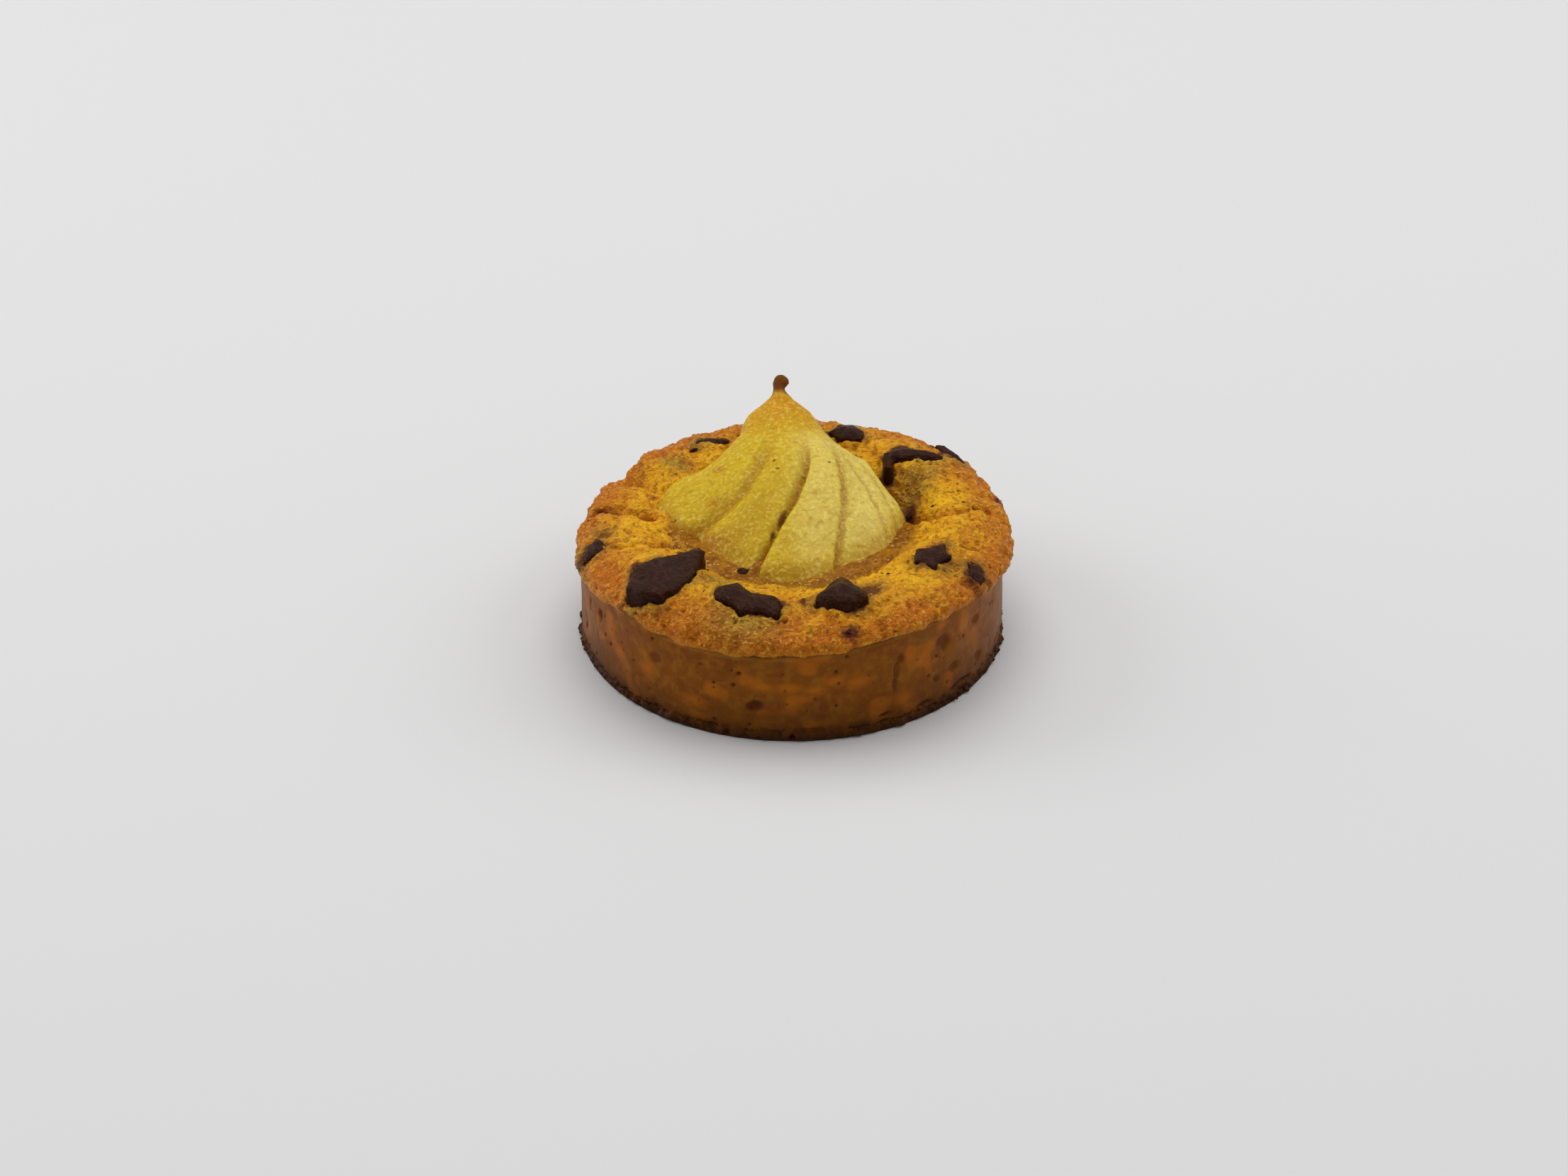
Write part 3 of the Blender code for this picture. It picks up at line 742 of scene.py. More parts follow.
def relief_tree():
    """Moves a surface along its normals: swellings, lumps and grain, and pores in some cells."""
    tree, given = new_tree("baked_relief", RELIEF_INPUTS)
    place = out(tree, "GeometryNodeInputPosition")
    total = 0.0
    for part in ("Swelling", "Lump", "Grain"):
        spot = out(tree, "ShaderNodeVectorMath", {0: place, 1: given[part + " Size"]}, operation="DIVIDE")
        raised = calc(tree, "MULTIPLY", centred_noise(tree, spot, W=given["Seed"]), given[part + " Height"])
        total = calc(tree, "ADD", raised, total)
    spot = out(tree, "ShaderNodeVectorMath", {0: place, 1: given["Pore Spacing"]}, operation="DIVIDE")
    cells = add(
        tree, "ShaderNodeTexVoronoi", {"Vector": spot, "W": given["Seed"], "Scale": 1.0}, voronoi_dimensions="4D"
    ).outputs
    red = out(tree, "FunctionNodeSeparateColor", {0: cells["Color"]})
    chosen = calc(tree, "LESS_THAN", red, given["Pore Share"])
    bowl = out(
        tree, "ShaderNodeMapRange",
        {"Value": cells["Distance"], "From Min": 0.12, "From Max": 0.42, "To Min": 1.0, "To Max": 0.0},
        interpolation_type="SMOOTHSTEP",
    )
    mask = out(tree, "GeometryNodeInputNamedAttribute", {"Name": "relief"}, data_type="FLOAT")
    pore = calc(tree, "MULTIPLY", calc(tree, "MULTIPLY", chosen, bowl), mask)
    dent = calc(tree, "MULTIPLY", pore, given["Pore Depth"])
    height = calc(tree, "SUBTRACT", calc(tree, "MULTIPLY", total, mask), dent)
    # The pore mask is kept so that the materials can paint shade into the pores
    kept = out(
        tree, "GeometryNodeStoreNamedAttribute",
        {"Geometry": given["Geometry"], "Name": "pore", "Value": pore}, data_type="FLOAT", domain="POINT",
    )
    end_tree(tree, pushed(tree, kept, height), given["Material"])
    return tree


def scatter_tree():
    """Small crumbs strewn over a surface, where its crumb field says, each cut down from a ball of 80 faces."""
    tree, given = new_tree("strewn_crumbs", SCATTER_INPUTS)
    seed = given["Seed"]
    mask = out(tree, "GeometryNodeInputNamedAttribute", {"Name": "crumb"}, data_type="FLOAT")
    density = calc(tree, "MULTIPLY", mask, given["Crumbs Per Square Metre"])
    strewn = add(
        tree, "GeometryNodeDistributePointsOnFaces",
        {"Mesh": given["Geometry"], "Density": density, "Seed": seed}, distribute_method="RANDOM",
    ).outputs
    size = add(
        tree, "FunctionNodeRandomValue", {2: given["Smallest"], 3: given["Largest"], "Seed": seed}, data_type="FLOAT"
    ).outputs[1]
    squeeze, spin = (
        out(tree, "FunctionNodeRandomValue", {0: least, 1: most, "Seed": seed}, data_type="FLOAT_VECTOR")
        for least, most in (((0.7, 0.7, 0.5), (1.2, 1.2, 0.9)), ((0.0, 0.0, 0.0), (0.5, 0.5, 6.3)))
    )
    flat = out(tree, "ShaderNodeCombineXYZ", {0: 1.0, 1: 1.0, 2: given["Flatness"]})
    squeeze = out(tree, "ShaderNodeVectorMath", {0: squeeze, 1: flat}, operation="MULTIPLY")
    scale = out(tree, "ShaderNodeVectorMath", {0: squeeze, "Scale": size}, operation="SCALE")
    turn = out(
        tree, "FunctionNodeRotateEuler", {"Rotation": strewn["Rotation"], "Rotate By": spin}, space="LOCAL"
    )
    ball = out(tree, "GeometryNodeMeshIcoSphere", {"Radius": 1.0, "Subdivisions": 2})
    laid = out(
        tree, "GeometryNodeInstanceOnPoints",
        {"Points": strewn["Points"], "Instance": ball, "Rotation": turn, "Scale": scale},
    )
    real = out(tree, "GeometryNodeRealizeInstances", {"Geometry": laid})
    place = out(tree, "GeometryNodeInputPosition")
    spot = out(tree, "ShaderNodeVectorMath", {0: place, "Scale": CRUMB_NOISE}, operation="SCALE")
    raised = calc(tree, "MULTIPLY", centred_noise(tree, spot), given["Roughness"])
    soft = out(tree, "GeometryNodeSetShadeSmooth", {"Geometry": pushed(tree, real, raised)})
    end_tree(tree, soft, given["Material"])
    return tree


def tree_named(name, make):
    return bpy.data.node_groups.get(name) or make()


def baked(obj, material, numbers):
    """Gives the piece its relief, by the tree's inputs in order, and its material."""
    values = dict(zip(RELIEF_INPUTS, numbers))
    run_tree(obj, tree_named("baked_relief", relief_tree), {**values, "Material": material})


def strewn_over(source, name, material, numbers):
    """Crumbs or bubbles strewn over a copy of the source's surface."""
    crumbs = linked(name, source.data.copy())
    crumbs.data.materials.clear()
    values = dict(zip(SCATTER_INPUTS, numbers))
    run_tree(crumbs, tree_named("strewn_crumbs", scatter_tree), {**values, "Material": material})
    return crumbs


# Materials. A mask is made by a function from the tree and the numbers after it

def mapped(tree, value, low, high, top=1.0, bottom=0.0):
    """The value from bottom at low to top at high, and no further."""
    return out(
        tree, "ShaderNodeMapRange",
        {"Value": value, "From Min": low, "From Max": high, "To Min": bottom, "To Max": top},
    )


def object_place(tree):
    return add(tree, "ShaderNodeTexCoord").outputs["Object"]


def pattern(tree, size, low=0.2, high=0.8, top=1.0, bottom=0.0, detail=2.0):
    """Noise in lumps of that size in millimetres."""
    scale = 1.0 / (size * MM)
    spot = out(tree, "ShaderNodeMapping", {"Vector": object_place(tree), "Scale": (scale, scale, scale)})
    noise = out(tree, "ShaderNodeTexNoise", {"Vector": spot, "Scale": 1.0, "Detail": detail})
    return mapped(tree, noise, low, high, top, bottom)


def grain(tree, size):
    """Finer noise for bumps."""
    return pattern(tree, size, detail=3.0)


def field(tree, name, low=0.0, high=1.0, top=1.0, bottom=0.0):
    """A field of the piece."""
    value = add(tree, "ShaderNodeAttribute", attribute_name=name).outputs["Fac"]
    return mapped(tree, value, low, high, top, bottom)


def fibres(tree, wide, low=0.2, high=0.8, top=1.0):
    """Streaks that wide in millimetres and three times as long, which run out from the pear's neck."""
    turn, away = (
        add(tree, "ShaderNodeAttribute", attribute_name=name).outputs["Fac"] for name in ("fan_turn", "fan_away")
    )
    spot = out(tree, "ShaderNodeCombineXYZ", {0: turn, 1: away})
    spot = out(tree, "ShaderNodeMapping", {"Vector": spot, "Scale": (1.0 / wide, 0.35 / wide, 1.0)})
    noise = out(tree, "ShaderNodeTexNoise", {"Vector": spot, "Scale": 1.0, "Detail": 2.0})
    return mapped(tree, noise, low, high, top)


def painted_glint_fibres(tree):
    """Painted glints: pale fibres on the lit upper right of the pear."""
    return calc(tree, "MULTIPLY", fibres(tree, 0.45, 0.54, 0.72), field(tree, "bright", 0.0, 1.0, 0.45))


def flow_lines(tree, low=0.0, high=1.0, top=1.0):
    """Flow lines 0.9 mm apart, drawn wider than the real ones so that they show."""
    waves = add(
        tree, "ShaderNodeTexWave",
        {"Vector": object_place(tree), "Scale": 170.0, "Distortion": 16.0, "Detail": 2.0, "Detail Scale": 1.2},
        bands_direction="DIAGONAL",
    ).outputs["Fac"]
    return mapped(tree, waves, low, high, top)


def new_material(name, **values):
    """A Principled material with the values that are the same all over it. Returns its tree and its shader."""
    material = bpy.data.materials.new(name)
    material.use_nodes = True
    shader = material.node_tree.nodes["Principled BSDF"]
    for key, value in values.items():
        shader.inputs[key.replace("_", " ")].default_value = value
    return material, material.node_tree, shader


def coated(name, base, coats, bumps=(), roughness=None, **values):
    """A material with coats of colour over its base, each by its own mask, and with bumps one upon another."""
    material, tree, shader = new_material(name, **values)
    colour = out(tree, "ShaderNodeRGB")
    colour.default_value = (*base, 1.0)
    for code, mask, *numbers in coats:
        mix = {0: mask(tree, *numbers), 6: colour, 7: (*linear(code), 1.0)}
        colour = add(tree, "ShaderNodeMix", mix, data_type="RGBA", clamp_factor=True).outputs[2]
    tree.links.new(colour, shader.inputs["Base Color"])
    below = {}
    for strength, distance, mask, *numbers in bumps:
        height = mask(tree, *numbers)
        normal = out(tree, "ShaderNodeBump", {"Strength": strength, "Distance": distance, "Height": height, **below})
        below = {"Normal": normal}
    if below:
        tree.links.new(below["Normal"], shader.inputs["Normal"])
    if roughness:
        mask, *numbers = roughness
        tree.links.new(mask(tree, *numbers), shader.inputs["Roughness"])
    return material


def shortcrust(look):
    """Butter pastry baked against a plain ring: smooth, matt, browned in soft blotches, with burst air pits."""
    return coated("shortcrust_baked_in_ring", look.crust, (
        ("#7c4000", pattern, 5.0, 0.35, 0.65),
        ("#965c08", pattern, 1.8, 0.48, 0.68, 0.7),
        ("#6a3804", pattern, 0.35, 0.55, 0.75, 0.35),
        ("#b86400", field, "blotch", 0.0, 1.0, 0.75),
        ("#2c1200", field, "foot", 0.0, 1.0, 0.92),
        ("#c8954a", field, "pale", 0.0, 1.0, 0.75),
        # Painted shade in the pits, dimples, crack and notches of the wall, and the real dark red-brown spot
        ("#381004", field, "pit_shade_and_spot", 0.1, 1.0, 0.85),
        # Painted shade in the pores
        ("#5a2c04", field, "pore", 0.2, 1.0, 0.35),
    ), bumps=((0.5, 0.00008, grain, 0.3),), Roughness=0.42, IOR=1.45, Specular_IOR_Level=0.12)


def almond_sponge(look):
    """Baked almond cream: an open oily crumb, golden inside the ring, browner outside, moist in the dip."""
    return coated("almond_sponge_baked", look.crumb, (
        ("#f2b808", pattern, 3.4, 0.42, 0.6, 0.8),
        ("#c06400", field, "browned", 0.0, 1.0, 0.95),
        ("#b45c00", pattern, 1.8, 0.52, 0.7, 0.55),
        ("#ffc40c", field, "golden", 0.0, 1.0, 0.65),
        ("#94802c", field, "khaki", 0.1, 0.9, 0.75),
        ("#7e4600", field, "wet", 0.0, 1.0, 0.85),
        ("#8e4800", pattern, 0.9, 0.5, 0.68, 0.6),
        # Pale specks that stand in for glints on the crumb: painted highlights
        ("#f8cc44", pattern, 0.6, 0.55, 0.7, 0.5),
        # Painted shade in the hollows of the crumb and a painted highlight on its ridges, both by the hollow field
        ("#864800", field, "hollow", 0.1, 1.0, 0.45),
        ("#f0b020", field, "hollow", -0.2, -1.0, 0.2),
        # Painted shade in the pores
        ("#623404", field, "pore", 0.2, 1.0, 0.5),
        ("#541e0a", field, "stain", 0.05, 0.7, 0.92),
    ), bumps=((1.0, 0.0004, grain, 0.6),), roughness=(field, "wet", 0.0, 1.0, 0.1, 0.32),
        IOR=1.45, Specular_IOR_Level=0.18)


def pear_flesh(look):
    """Poached pear, baked: translucent pale yellow with gritty fibres under thin syrup, with painted golden shade in
    the creases.
    """
    return coated("pear_flesh_poached", look.flesh, (
        ("#c0960e", pattern, 4.0, 0.4, 0.7, 0.5),
        ("#f0dc50", fibres, 0.45, 0.54, 0.72, 0.2),
        # Painted light on the upper right slices of the pear, where the lamps fall
        ("#e6d070", field, "bright", 0.0, 1.0, 0.7),
        ("#c88400", field, "gold", 0.0, 1.0, 0.9),
        # Painted light on the raised edges of the slices, by the hollow field
        ("#e4d62a", field, "hollow", -0.05, -0.6, 0.7),
        ("#a06c04", field, "low", 0.0, 1.0, 0.8),
        ("#b07000", field, "patch", 0.0, 1.0, 0.85),
        # Painted golden-brown shade along the cuts between the slices
        ("#a06c08", field, "crease_shade", 0.0, 1.0, 0.8),
        # Painted shade in the hollows of the flesh, by the hollow field
        ("#a0700e", field, "hollow", 0.1, 0.9, 0.45),
        # Painted glints along the fibres of the lit side
        ("#fcf098", painted_glint_fibres),
        ("#a07c10", fibres, 0.7, 0.55, 0.75, 0.35),
        ("#ecd870", pattern, 0.7, 0.5, 0.68, 0.4),
        ("#a4740a", pattern, 1.3, 0.55, 0.72, 0.4),
        ("#6a3204", field, "stub", 0.0, 1.0, 0.95),
        ("#5c2804", field, "speck", 0.25, 0.8, 0.85),
    ), bumps=((0.7, 0.00012, fibres, 0.5), (0.6, 0.00009, pattern, 0.35)),
        roughness=(field, "bright", 0.0, 1.0, 0.22, 0.44), IOR=1.4, Specular_IOR_Level=0.14,
        Subsurface_Weight=0.18, Subsurface_Scale=0.001, Subsurface_Radius=(1.0, 0.6, 0.12))


def dark_chocolate(look):
    """Broken dark chocolate, melted and set again: near black brown, satin, with thin pale flow lines, and painted
    highlights on its edges and in small specks.
    """
    return coated("dark_chocolate_baked", look.chocolate, (
        ("#341606", pattern, 2.5, 0.4, 0.7),
        ("#6a4c3c", flow_lines, 0.75, 1.0, 0.14),
        # Painted highlight on the edges of the piece, by the hollow field
        ("#54301a", field, "hollow", -0.1, -0.9, 0.3),
        # Small pale specks that stand in for glints: painted highlights
        ("#7a5240", pattern, 0.4, 0.66, 0.74, 0.4),
    ), bumps=((0.25, 0.0001, flow_lines), (0.8, 0.0003, grain, 0.5)),
        roughness=(pattern, 1.6, 0.35, 0.65, 0.5, 0.2), IOR=1.48, Specular_IOR_Level=0.09)


def pear_syrup(look):
    """Reduced pear syrup: amber, thick, wet gloss."""
    return coated("pear_syrup_reduced", look.syrup, (
        ("#a66a00", pattern, 3.0, 0.4, 0.7),
        ("#c48c10", pattern, 0.8, 0.5, 0.7, 0.6),
    ), bumps=((1.0, 0.0006, pattern, 1.2),), Roughness=0.12, IOR=1.42, Specular_IOR_Level=0.16,
        Subsurface_Weight=0.15, Subsurface_Scale=0.001, Subsurface_Radius=(1.0, 0.5, 0.1))


def syrup_bubble(look):
    """Thin shells of clear syrup with sharp small glints."""
    return coated(
        "pear_syrup_bubble", linear("#d49c38"), (("#b87c20", pattern, 0.6, 0.4, 0.7),),
        Roughness=0.05, IOR=1.4, Transmission_Weight=0.2,
    )


def material_named(make, look):
    """The tart's material from its maker, made once."""
    name = look.get(make.__name__)
    if name and name in bpy.data.materials:
        return bpy.data.materials[name]
    material = make(look)
    look[make.__name__] = material.name
    return material


# Shapes of the case and the filling

def rim_wave(angle):
    """How far the case's rim stands above its mean height."""
    return waves(angle, RIM_WAVES)


def crest_height(angle):
    return CREST_HEIGHT + waves(angle, CREST_WAVES)


def cleft(x, y):
    """The split in the ring, from 0 to 1."""
    c, s = turned(CLEFT_ANGLE)
    return np.exp(-(((c * y - s * x) / CLEFT_WIDTH) ** 2)) * smooth(21.0, 30.0, c * x + s * y)


def split_depth(x, y):
    return CLEFT_DEPTH * cleft(x, y) * (1.0 - smooth(36.0, LIP_RADIUS, np.hypot(x, y)))


def bare_height(x, y):
    """The top of the filling as the solid has it."""
    radius = np.hypot(x, y)
    angle = np.degrees(np.arctan2(y, x)) % 360.0
    crest = crest_height(angle)
    dip_radius = DIP_RADIUS + waves(angle, DIP_WAVES)
    inside = DIP_HEIGHT + (crest - DIP_HEIGHT) * smooth(dip_radius, CREST_RADIUS, radius)
    edge = CASE_RIM + rim_wave(angle) + LIP_DEPTH
    beyond = np.clip((radius - CREST_RADIUS) / (LIP_RADIUS - CREST_RADIUS), 0.0, 1.0)
    outside = edge + (crest - edge) * np.sqrt(1.0 - beyond * beyond)
    return np.where(radius < CREST_RADIUS, inside, outside) - split_depth(x, y)


def fine_height(x, y):
    """What the lobes, folds and hollows add to the filling's top."""
    added = sum(lift * mound(x, y, *place) for *place, lift in MOUNDS)
    return added - sum(depth * near_line(x, y, points, width) for points, width, depth in FOLDS)


def chocolate_distance(x, y):
    """How far each x, y is outside the nearest piece of chocolate."""
    return np.min([
        outline_distance(x - px, y - py, corners) for (px, py), corners, *_ in CHOCOLATE.values()
    ], axis=0)


def filling_tilt(x, y):
    """Turns +Z to the filling's surface at x, y."""
    reach = TILT_REACH
    along, across = (
        float(bare_height(x + dx, y + dy) - bare_height(x - dx, y - dy)) for dx, dy in ((reach, 0), (0, reach))
    )
    normal = Vector((-along / (2 * reach), -across / (2 * reach), 1.0))
    return Vector((0.0, 0.0, 1.0)).rotation_difference(normal).to_matrix().to_4x4()


def from_mark(angle, height, mark):
    """How far each place on the wall is from a mark, in the mark's half sizes."""
    centre, middle, wide, tall = mark
    off = (angle - centre + 180.0) % 360.0 - 180.0
    return np.hypot(off * CASE_RADIUS * math.pi / 180.0 / wide, (height - middle) / tall)


def case_rows(rim):
    """Rings of the case from under its middle, out and up the wall and down to its floor: radius, height."""
    for radius in (10.0, 20.0, 29.0, 35.0, 38.0, CASE_RADIUS + CASE_FOOT * 0.4):
        yield radius, 0.0
    for height in np.arange(0.15, 0.6, 0.15):
        yield CASE_RADIUS + CASE_FOOT * (0.4 + height), height
    for height in np.arange(0.6, FOOT_HEIGHT, 0.2):
        yield CASE_RADIUS + CASE_FOOT * (FOOT_HEIGHT - height) / 1.2, height
    straight = FOOT_HEIGHT + RIM_EDGE
    steps = int((CASE_RIM - straight) / WALL_STEP)
    for step in range(steps + 1):
        yield CASE_RADIUS, FOOT_HEIGHT + (rim - straight) * step / steps
    for turn in (20.0, 45.0, 70.0, 90.0):
        c, s = turned(turn)
        yield CASE_RADIUS - RIM_EDGE + RIM_EDGE * c, rim - RIM_EDGE + RIM_EDGE * s
    yield CASE_INNER, rim
    for radius, height in ((CASE_INNER, CASE_FLOOR + 0.8), (CASE_INNER - 0.8, CASE_FLOOR), (18.0, CASE_FLOOR)):
        yield radius, height


def make_case(settings, look):
    """The shortcrust case, with pits, dimples and a crumbly foot."""
    around = np.arange(CASE_COLUMNS) * 360.0 / CASE_COLUMNS
    rim = CASE_RIM + rim_wave(around)
    radius, height = rings(case_rows(rim), CASE_COLUMNS)
    angle, top = (np.tile(values, len(radius) // CASE_COLUMNS) for values in (around, rim))
    outer = smooth(37.0, 38.6, radius) * smooth(0.0, 0.5, height)
    flat = polar(angle, CASE_RADIUS, height)
    ground = flat * (1, 1, 0)

    inward = np.zeros(len(radius))
    # Where the wall's colour is painted with shade: its pits, dimples, crack and notches; also the real dark red-brown
    # spot
    pit_shade_and_spot = np.zeros(len(radius))
    random = np.random.default_rng(11)
    small = [
        (random.uniform(0, 360), random.uniform(2.5, 17.0), w, w * random.uniform(0.6, 1.3), random.uniform(0.15, 0.35))
        for w in random.uniform(0.16, 0.36, settings.pits)
    ]
    for *mark, depth in (*PITS, *small):
        bowl = 1.0 - smooth(0.35, 1.6, from_mark(angle, height, mark))
        inward += depth * bowl
        pit_shade_and_spot = np.maximum(pit_shade_and_spot, bowl * min(depth / 0.35, 1.0))
    shallow = [
        (random.uniform(0, 360), random.uniform(3.0, 16.0), random.uniform(0.8, 2.0), random.uniform(0.7, 1.8))
        for _ in range(SHALLOW_DIMPLES)
    ]
    for mark in shallow:
        inward += SHALLOW_DEPTH * np.exp(-(from_mark(angle, height, mark) ** 2))
    ragged = 0.15 * cloud(flat, 1.2, 25)
    for *mark, depth in DIMPLES:
        away = from_mark(angle, height, mark) + ragged
        inward += depth * (1.0 - smooth(0.5, 1.2, away))
        pit_shade_and_spot = np.maximum(pit_shade_and_spot, 0.5 * (1.0 - smooth(0.6, 1.2, away)))
    blotch = 0.8 * smooth(0.25, 0.8, cloud(flat, 3.0, 21))
    for mark in BLOTCHES:
        blotch = np.maximum(blotch, np.exp(-(from_mark(angle, height, mark) ** 2)))

    crack_height = np.where((angle > 270.0) & (angle < 348.0), np.interp(angle, *zip(*FOOT_CRACK)), 1.9)
    crack_height = crack_height + 0.35 * cloud(ground, 2.2, 5)
    front = smooth(272.0, 290.0, angle) * (1 - smooth(325.0, 350.0, angle))
    crack = np.exp(-(((height - crack_height) / 0.30) ** 2))
    crack *= smooth(-0.15, 0.5, cloud(ground, 3.4, 8)) * (0.25 + 0.75 * front)
    foot = (1.0 - smooth(1.6, 2.8, height)) * outer
    notch = smooth(0.45, 0.75, cloud(flat * (1, 1, 0.6), 1.5, 9)) * (1.0 - smooth(0.9, 1.7, height)) * outer
    inward += CRACK_DEPTH * crack + foot * (0.45 * cloud(flat, 1.3, 3) + 0.4 * cloud(flat, 0.7, 4)) + 0.5 * notch
    pit_shade_and_spot = np.maximum(pit_shade_and_spot, np.maximum(crack * 0.95, notch * 0.9))
    radius = radius - inward * outer

    low = 1.0 - 0.6 * smooth(0.5, 4.0, height + 0.8 * cloud(flat, 2.5, 23))
    low -= 0.4 * smooth(3.0, 11.0, height + 2.0 * cloud(flat, 4.0, 24))
    points, faces = closed_rings(polar(angle, radius, height), CASE_COLUMNS, (0, 0, 0), (0, 0, CASE_FLOOR))
    case = new_piece("shortcrust_case_baked", points, faces, {
        "relief": outer,
        "pit_shade_and_spot": pit_shade_and_spot * outer,
        "blotch": blotch * outer,
        "pale": (1.0 - smooth(0.2, 0.9, top - height)) * (0.6 + 0.4 * cloud(flat, 3.0, 26)) * outer,
        "foot": low,
        "crumb": foot * smooth(0.3, 0.9, height),
    })
    baked(case, material_named(shortcrust, look), CASE_RELIEF)
    return case


def filling_rows(around):
    """Rings of the filling from the middle out, over the lip and down inside the case: radius, height, is it seen.

    Where the height is not a number, the bare height takes its place.
    """
    crest = crest_height(around)
    rim = CASE_RIM + rim_wave(around)
    edge = rim + LIP_DEPTH
    for radius in (*np.arange(1.5, 12.0, 1.5), *np.arange(12.0, CREST_RADIUS, FILLING_STEP)):
        yield radius, math.nan, 1.0
    for step in range(LIP_STEPS + 1):
        c, s = turned(90.0 * step / LIP_STEPS)
        yield CREST_RADIUS + (LIP_RADIUS - CREST_RADIUS) * s, edge + (crest - edge) * c, 1.0
    for step in range(1, 8):
        c, s = turned(90.0 * step / 7)
        yield LIP_RADIUS - LIP_TUCK * (1.0 - c), edge - (LIP_DEPTH - 0.1) * s, 1.0 - 0.6 * step / 7
    inner, floor = CASE_INNER - FILLING_GAP, CASE_FLOOR + FILLING_GAP
    for radius, height in ((inner, rim + 0.3), (inner, floor + 1.0), (inner - 1.0, floor), (16.0, floor)):
        yield radius, height, 0.0


def make_filling(settings, look):
    """The almond filling: a risen ring with lobes, folds and pockets for the chocolate, round a moist dip."""
    around = np.arange(FILLING_COLUMNS) * 360.0 / FILLING_COLUMNS
    radius, height, seen = rings(filling_rows(around), FILLING_COLUMNS)
    angle = np.tile(around, len(radius) // FILLING_COLUMNS)
    x, y, _ = polar(angle, radius, height).T
    height = np.where(np.isnan(height), bare_height(x, y), height)
    upper = seen > 0.99
    height = np.where(upper & (radius > CREST_RADIUS - 0.01), height - split_depth(x, y), height)

    beyond = np.clip((radius - CREST_RADIUS) / (LIP_RADIUS - CREST_RADIUS), 0.0, 1.0)
    notch = CLEFT_NOTCH * cleft(x, y) * smooth(0.0, 0.7, beyond)
    spread = 1.0 - notch + beyond * waves(angle, LIP_WAVES) / np.maximum(radius, 1.0)
    spread = np.where((radius > CREST_RADIUS) & (seen > 0.0), spread, 1.0)
    x, y = x * spread, y * spread

    flat = np.stack([x, y, 0 * x], 1)
    away = 0.15 + chocolate_distance(x, y) + 0.3 * cloud(flat, 1.3, 33) + 0.2 * cloud(flat, 0.7, 34)
    pocket = POCKET_DEPTH * (1.0 - smooth(-0.7, 0.1, away))
    welt = WELT_HEIGHT * np.exp(-(((away - 0.7) / 0.7) ** 2))
    rise = (fine_height(x, y) + welt - pocket) * upper
    steep = np.clip((radius - 36.5) / 3.8, 0.0, 1.0)
    height = height + rise * (1.0 - 0.6 * steep)
    inwards = 1.0 + rise * steep * 0.8 / np.maximum(radius, 1.0)
    x, y = x * inwards, y * inwards

    points = np.stack([x, y, height], 1)
    lump = cloud(points, 3.2, 31)
    dip = (1.0 - smooth(18.9, 20.6, height)) * (1.0 - smooth(23.0, 26.0, radius))
    browned = 0.12 + smooth(CREST_RADIUS - 1.0, LIP_RADIUS, radius) + 0.35 * lump + waves(angle, BROWNED_WAVES)
    browned = np.clip(browned, 0.0, 1.0)
    for line, width, _ in FOLDS:
        browned = np.maximum(browned, 0.7 * near_line(x, y, line, width))
    film = smooth(-0.5, 0.5, cloud(flat, 3.5, 35))
    khaki = (0.2 + 0.7 * film) * np.exp(-((np.maximum(away, 0.0) / (0.7 + film)) ** 2))
    khaki = np.maximum(khaki, 0.9 * marks(x, y, KHAKI))
    melted = smooth(0.0, 0.7, cloud(flat, 2.4, 36))
    stain = (0.5 + 0.4 * melted) * np.exp(-((np.maximum(away - 0.05, 0.0) / (0.3 + 0.8 * melted)) ** 2))
    fields = {
        "relief": seen * (1.0 - 0.35 * dip) * (1.0 - 0.6 * cleft(x, y)),
        "browned": browned,
        "golden": marks(x, y, GOLDEN) * smooth(-0.9, 0.1, lump),
        "khaki": khaki,
        "stain": np.maximum(stain, marks(x, y, STAINS) * smooth(-1.2, 0.1, cloud(flat, 1.4, 38))),
        "wet": np.maximum(dip, 0.8 * khaki * smooth(-0.4, 0.4, lump)),
        "crumb": smooth(0.1, 0.6, cloud(points, 5.0, 41)) * seen * (1.0 - dip),
    }
    middles = (0, 0, DIP_HEIGHT), (0, 0, CASE_FLOOR + FILLING_GAP)
    points, faces = closed_rings(points, FILLING_COLUMNS, *middles)
    filling = new_piece("almond_filling_baked", points, faces, {
        name: values * (seen > 0.0) for name, values in fields.items()
    })
    relief = (0.0042, settings.swelling, 0.0013, settings.lumps, *FILLING_GRAIN)
    baked(filling, material_named(almond_sponge, look), relief)
    # The hollow field, by which the sponge is painted with shade in its hollows and light on its ridges
    set_field(filling.data, "hollow", hollowness(filling.data, 9, 0.2))
    return filling


# Pear

def along_seam(seam, t):
    """Points on a smooth curve through the seam's points, t going from 0 to 1."""
    knots = np.array(seam)
    padded = np.concatenate([2 * knots[:1] - knots[1:2], knots, 2 * knots[-1:] - knots[-2:-1]])
    place = t * (len(knots) - 1)
    cell = np.minimum(place.astype(int), len(knots) - 2)
    u = (place - cell)[:, None]
    a, b, c, d = (padded[cell + i] for i in range(4))
    return b + 0.5 * u * (c - a + u * (2 * a - 5 * b + 4 * c - d + u * (3 * (b - c) + d - a)))


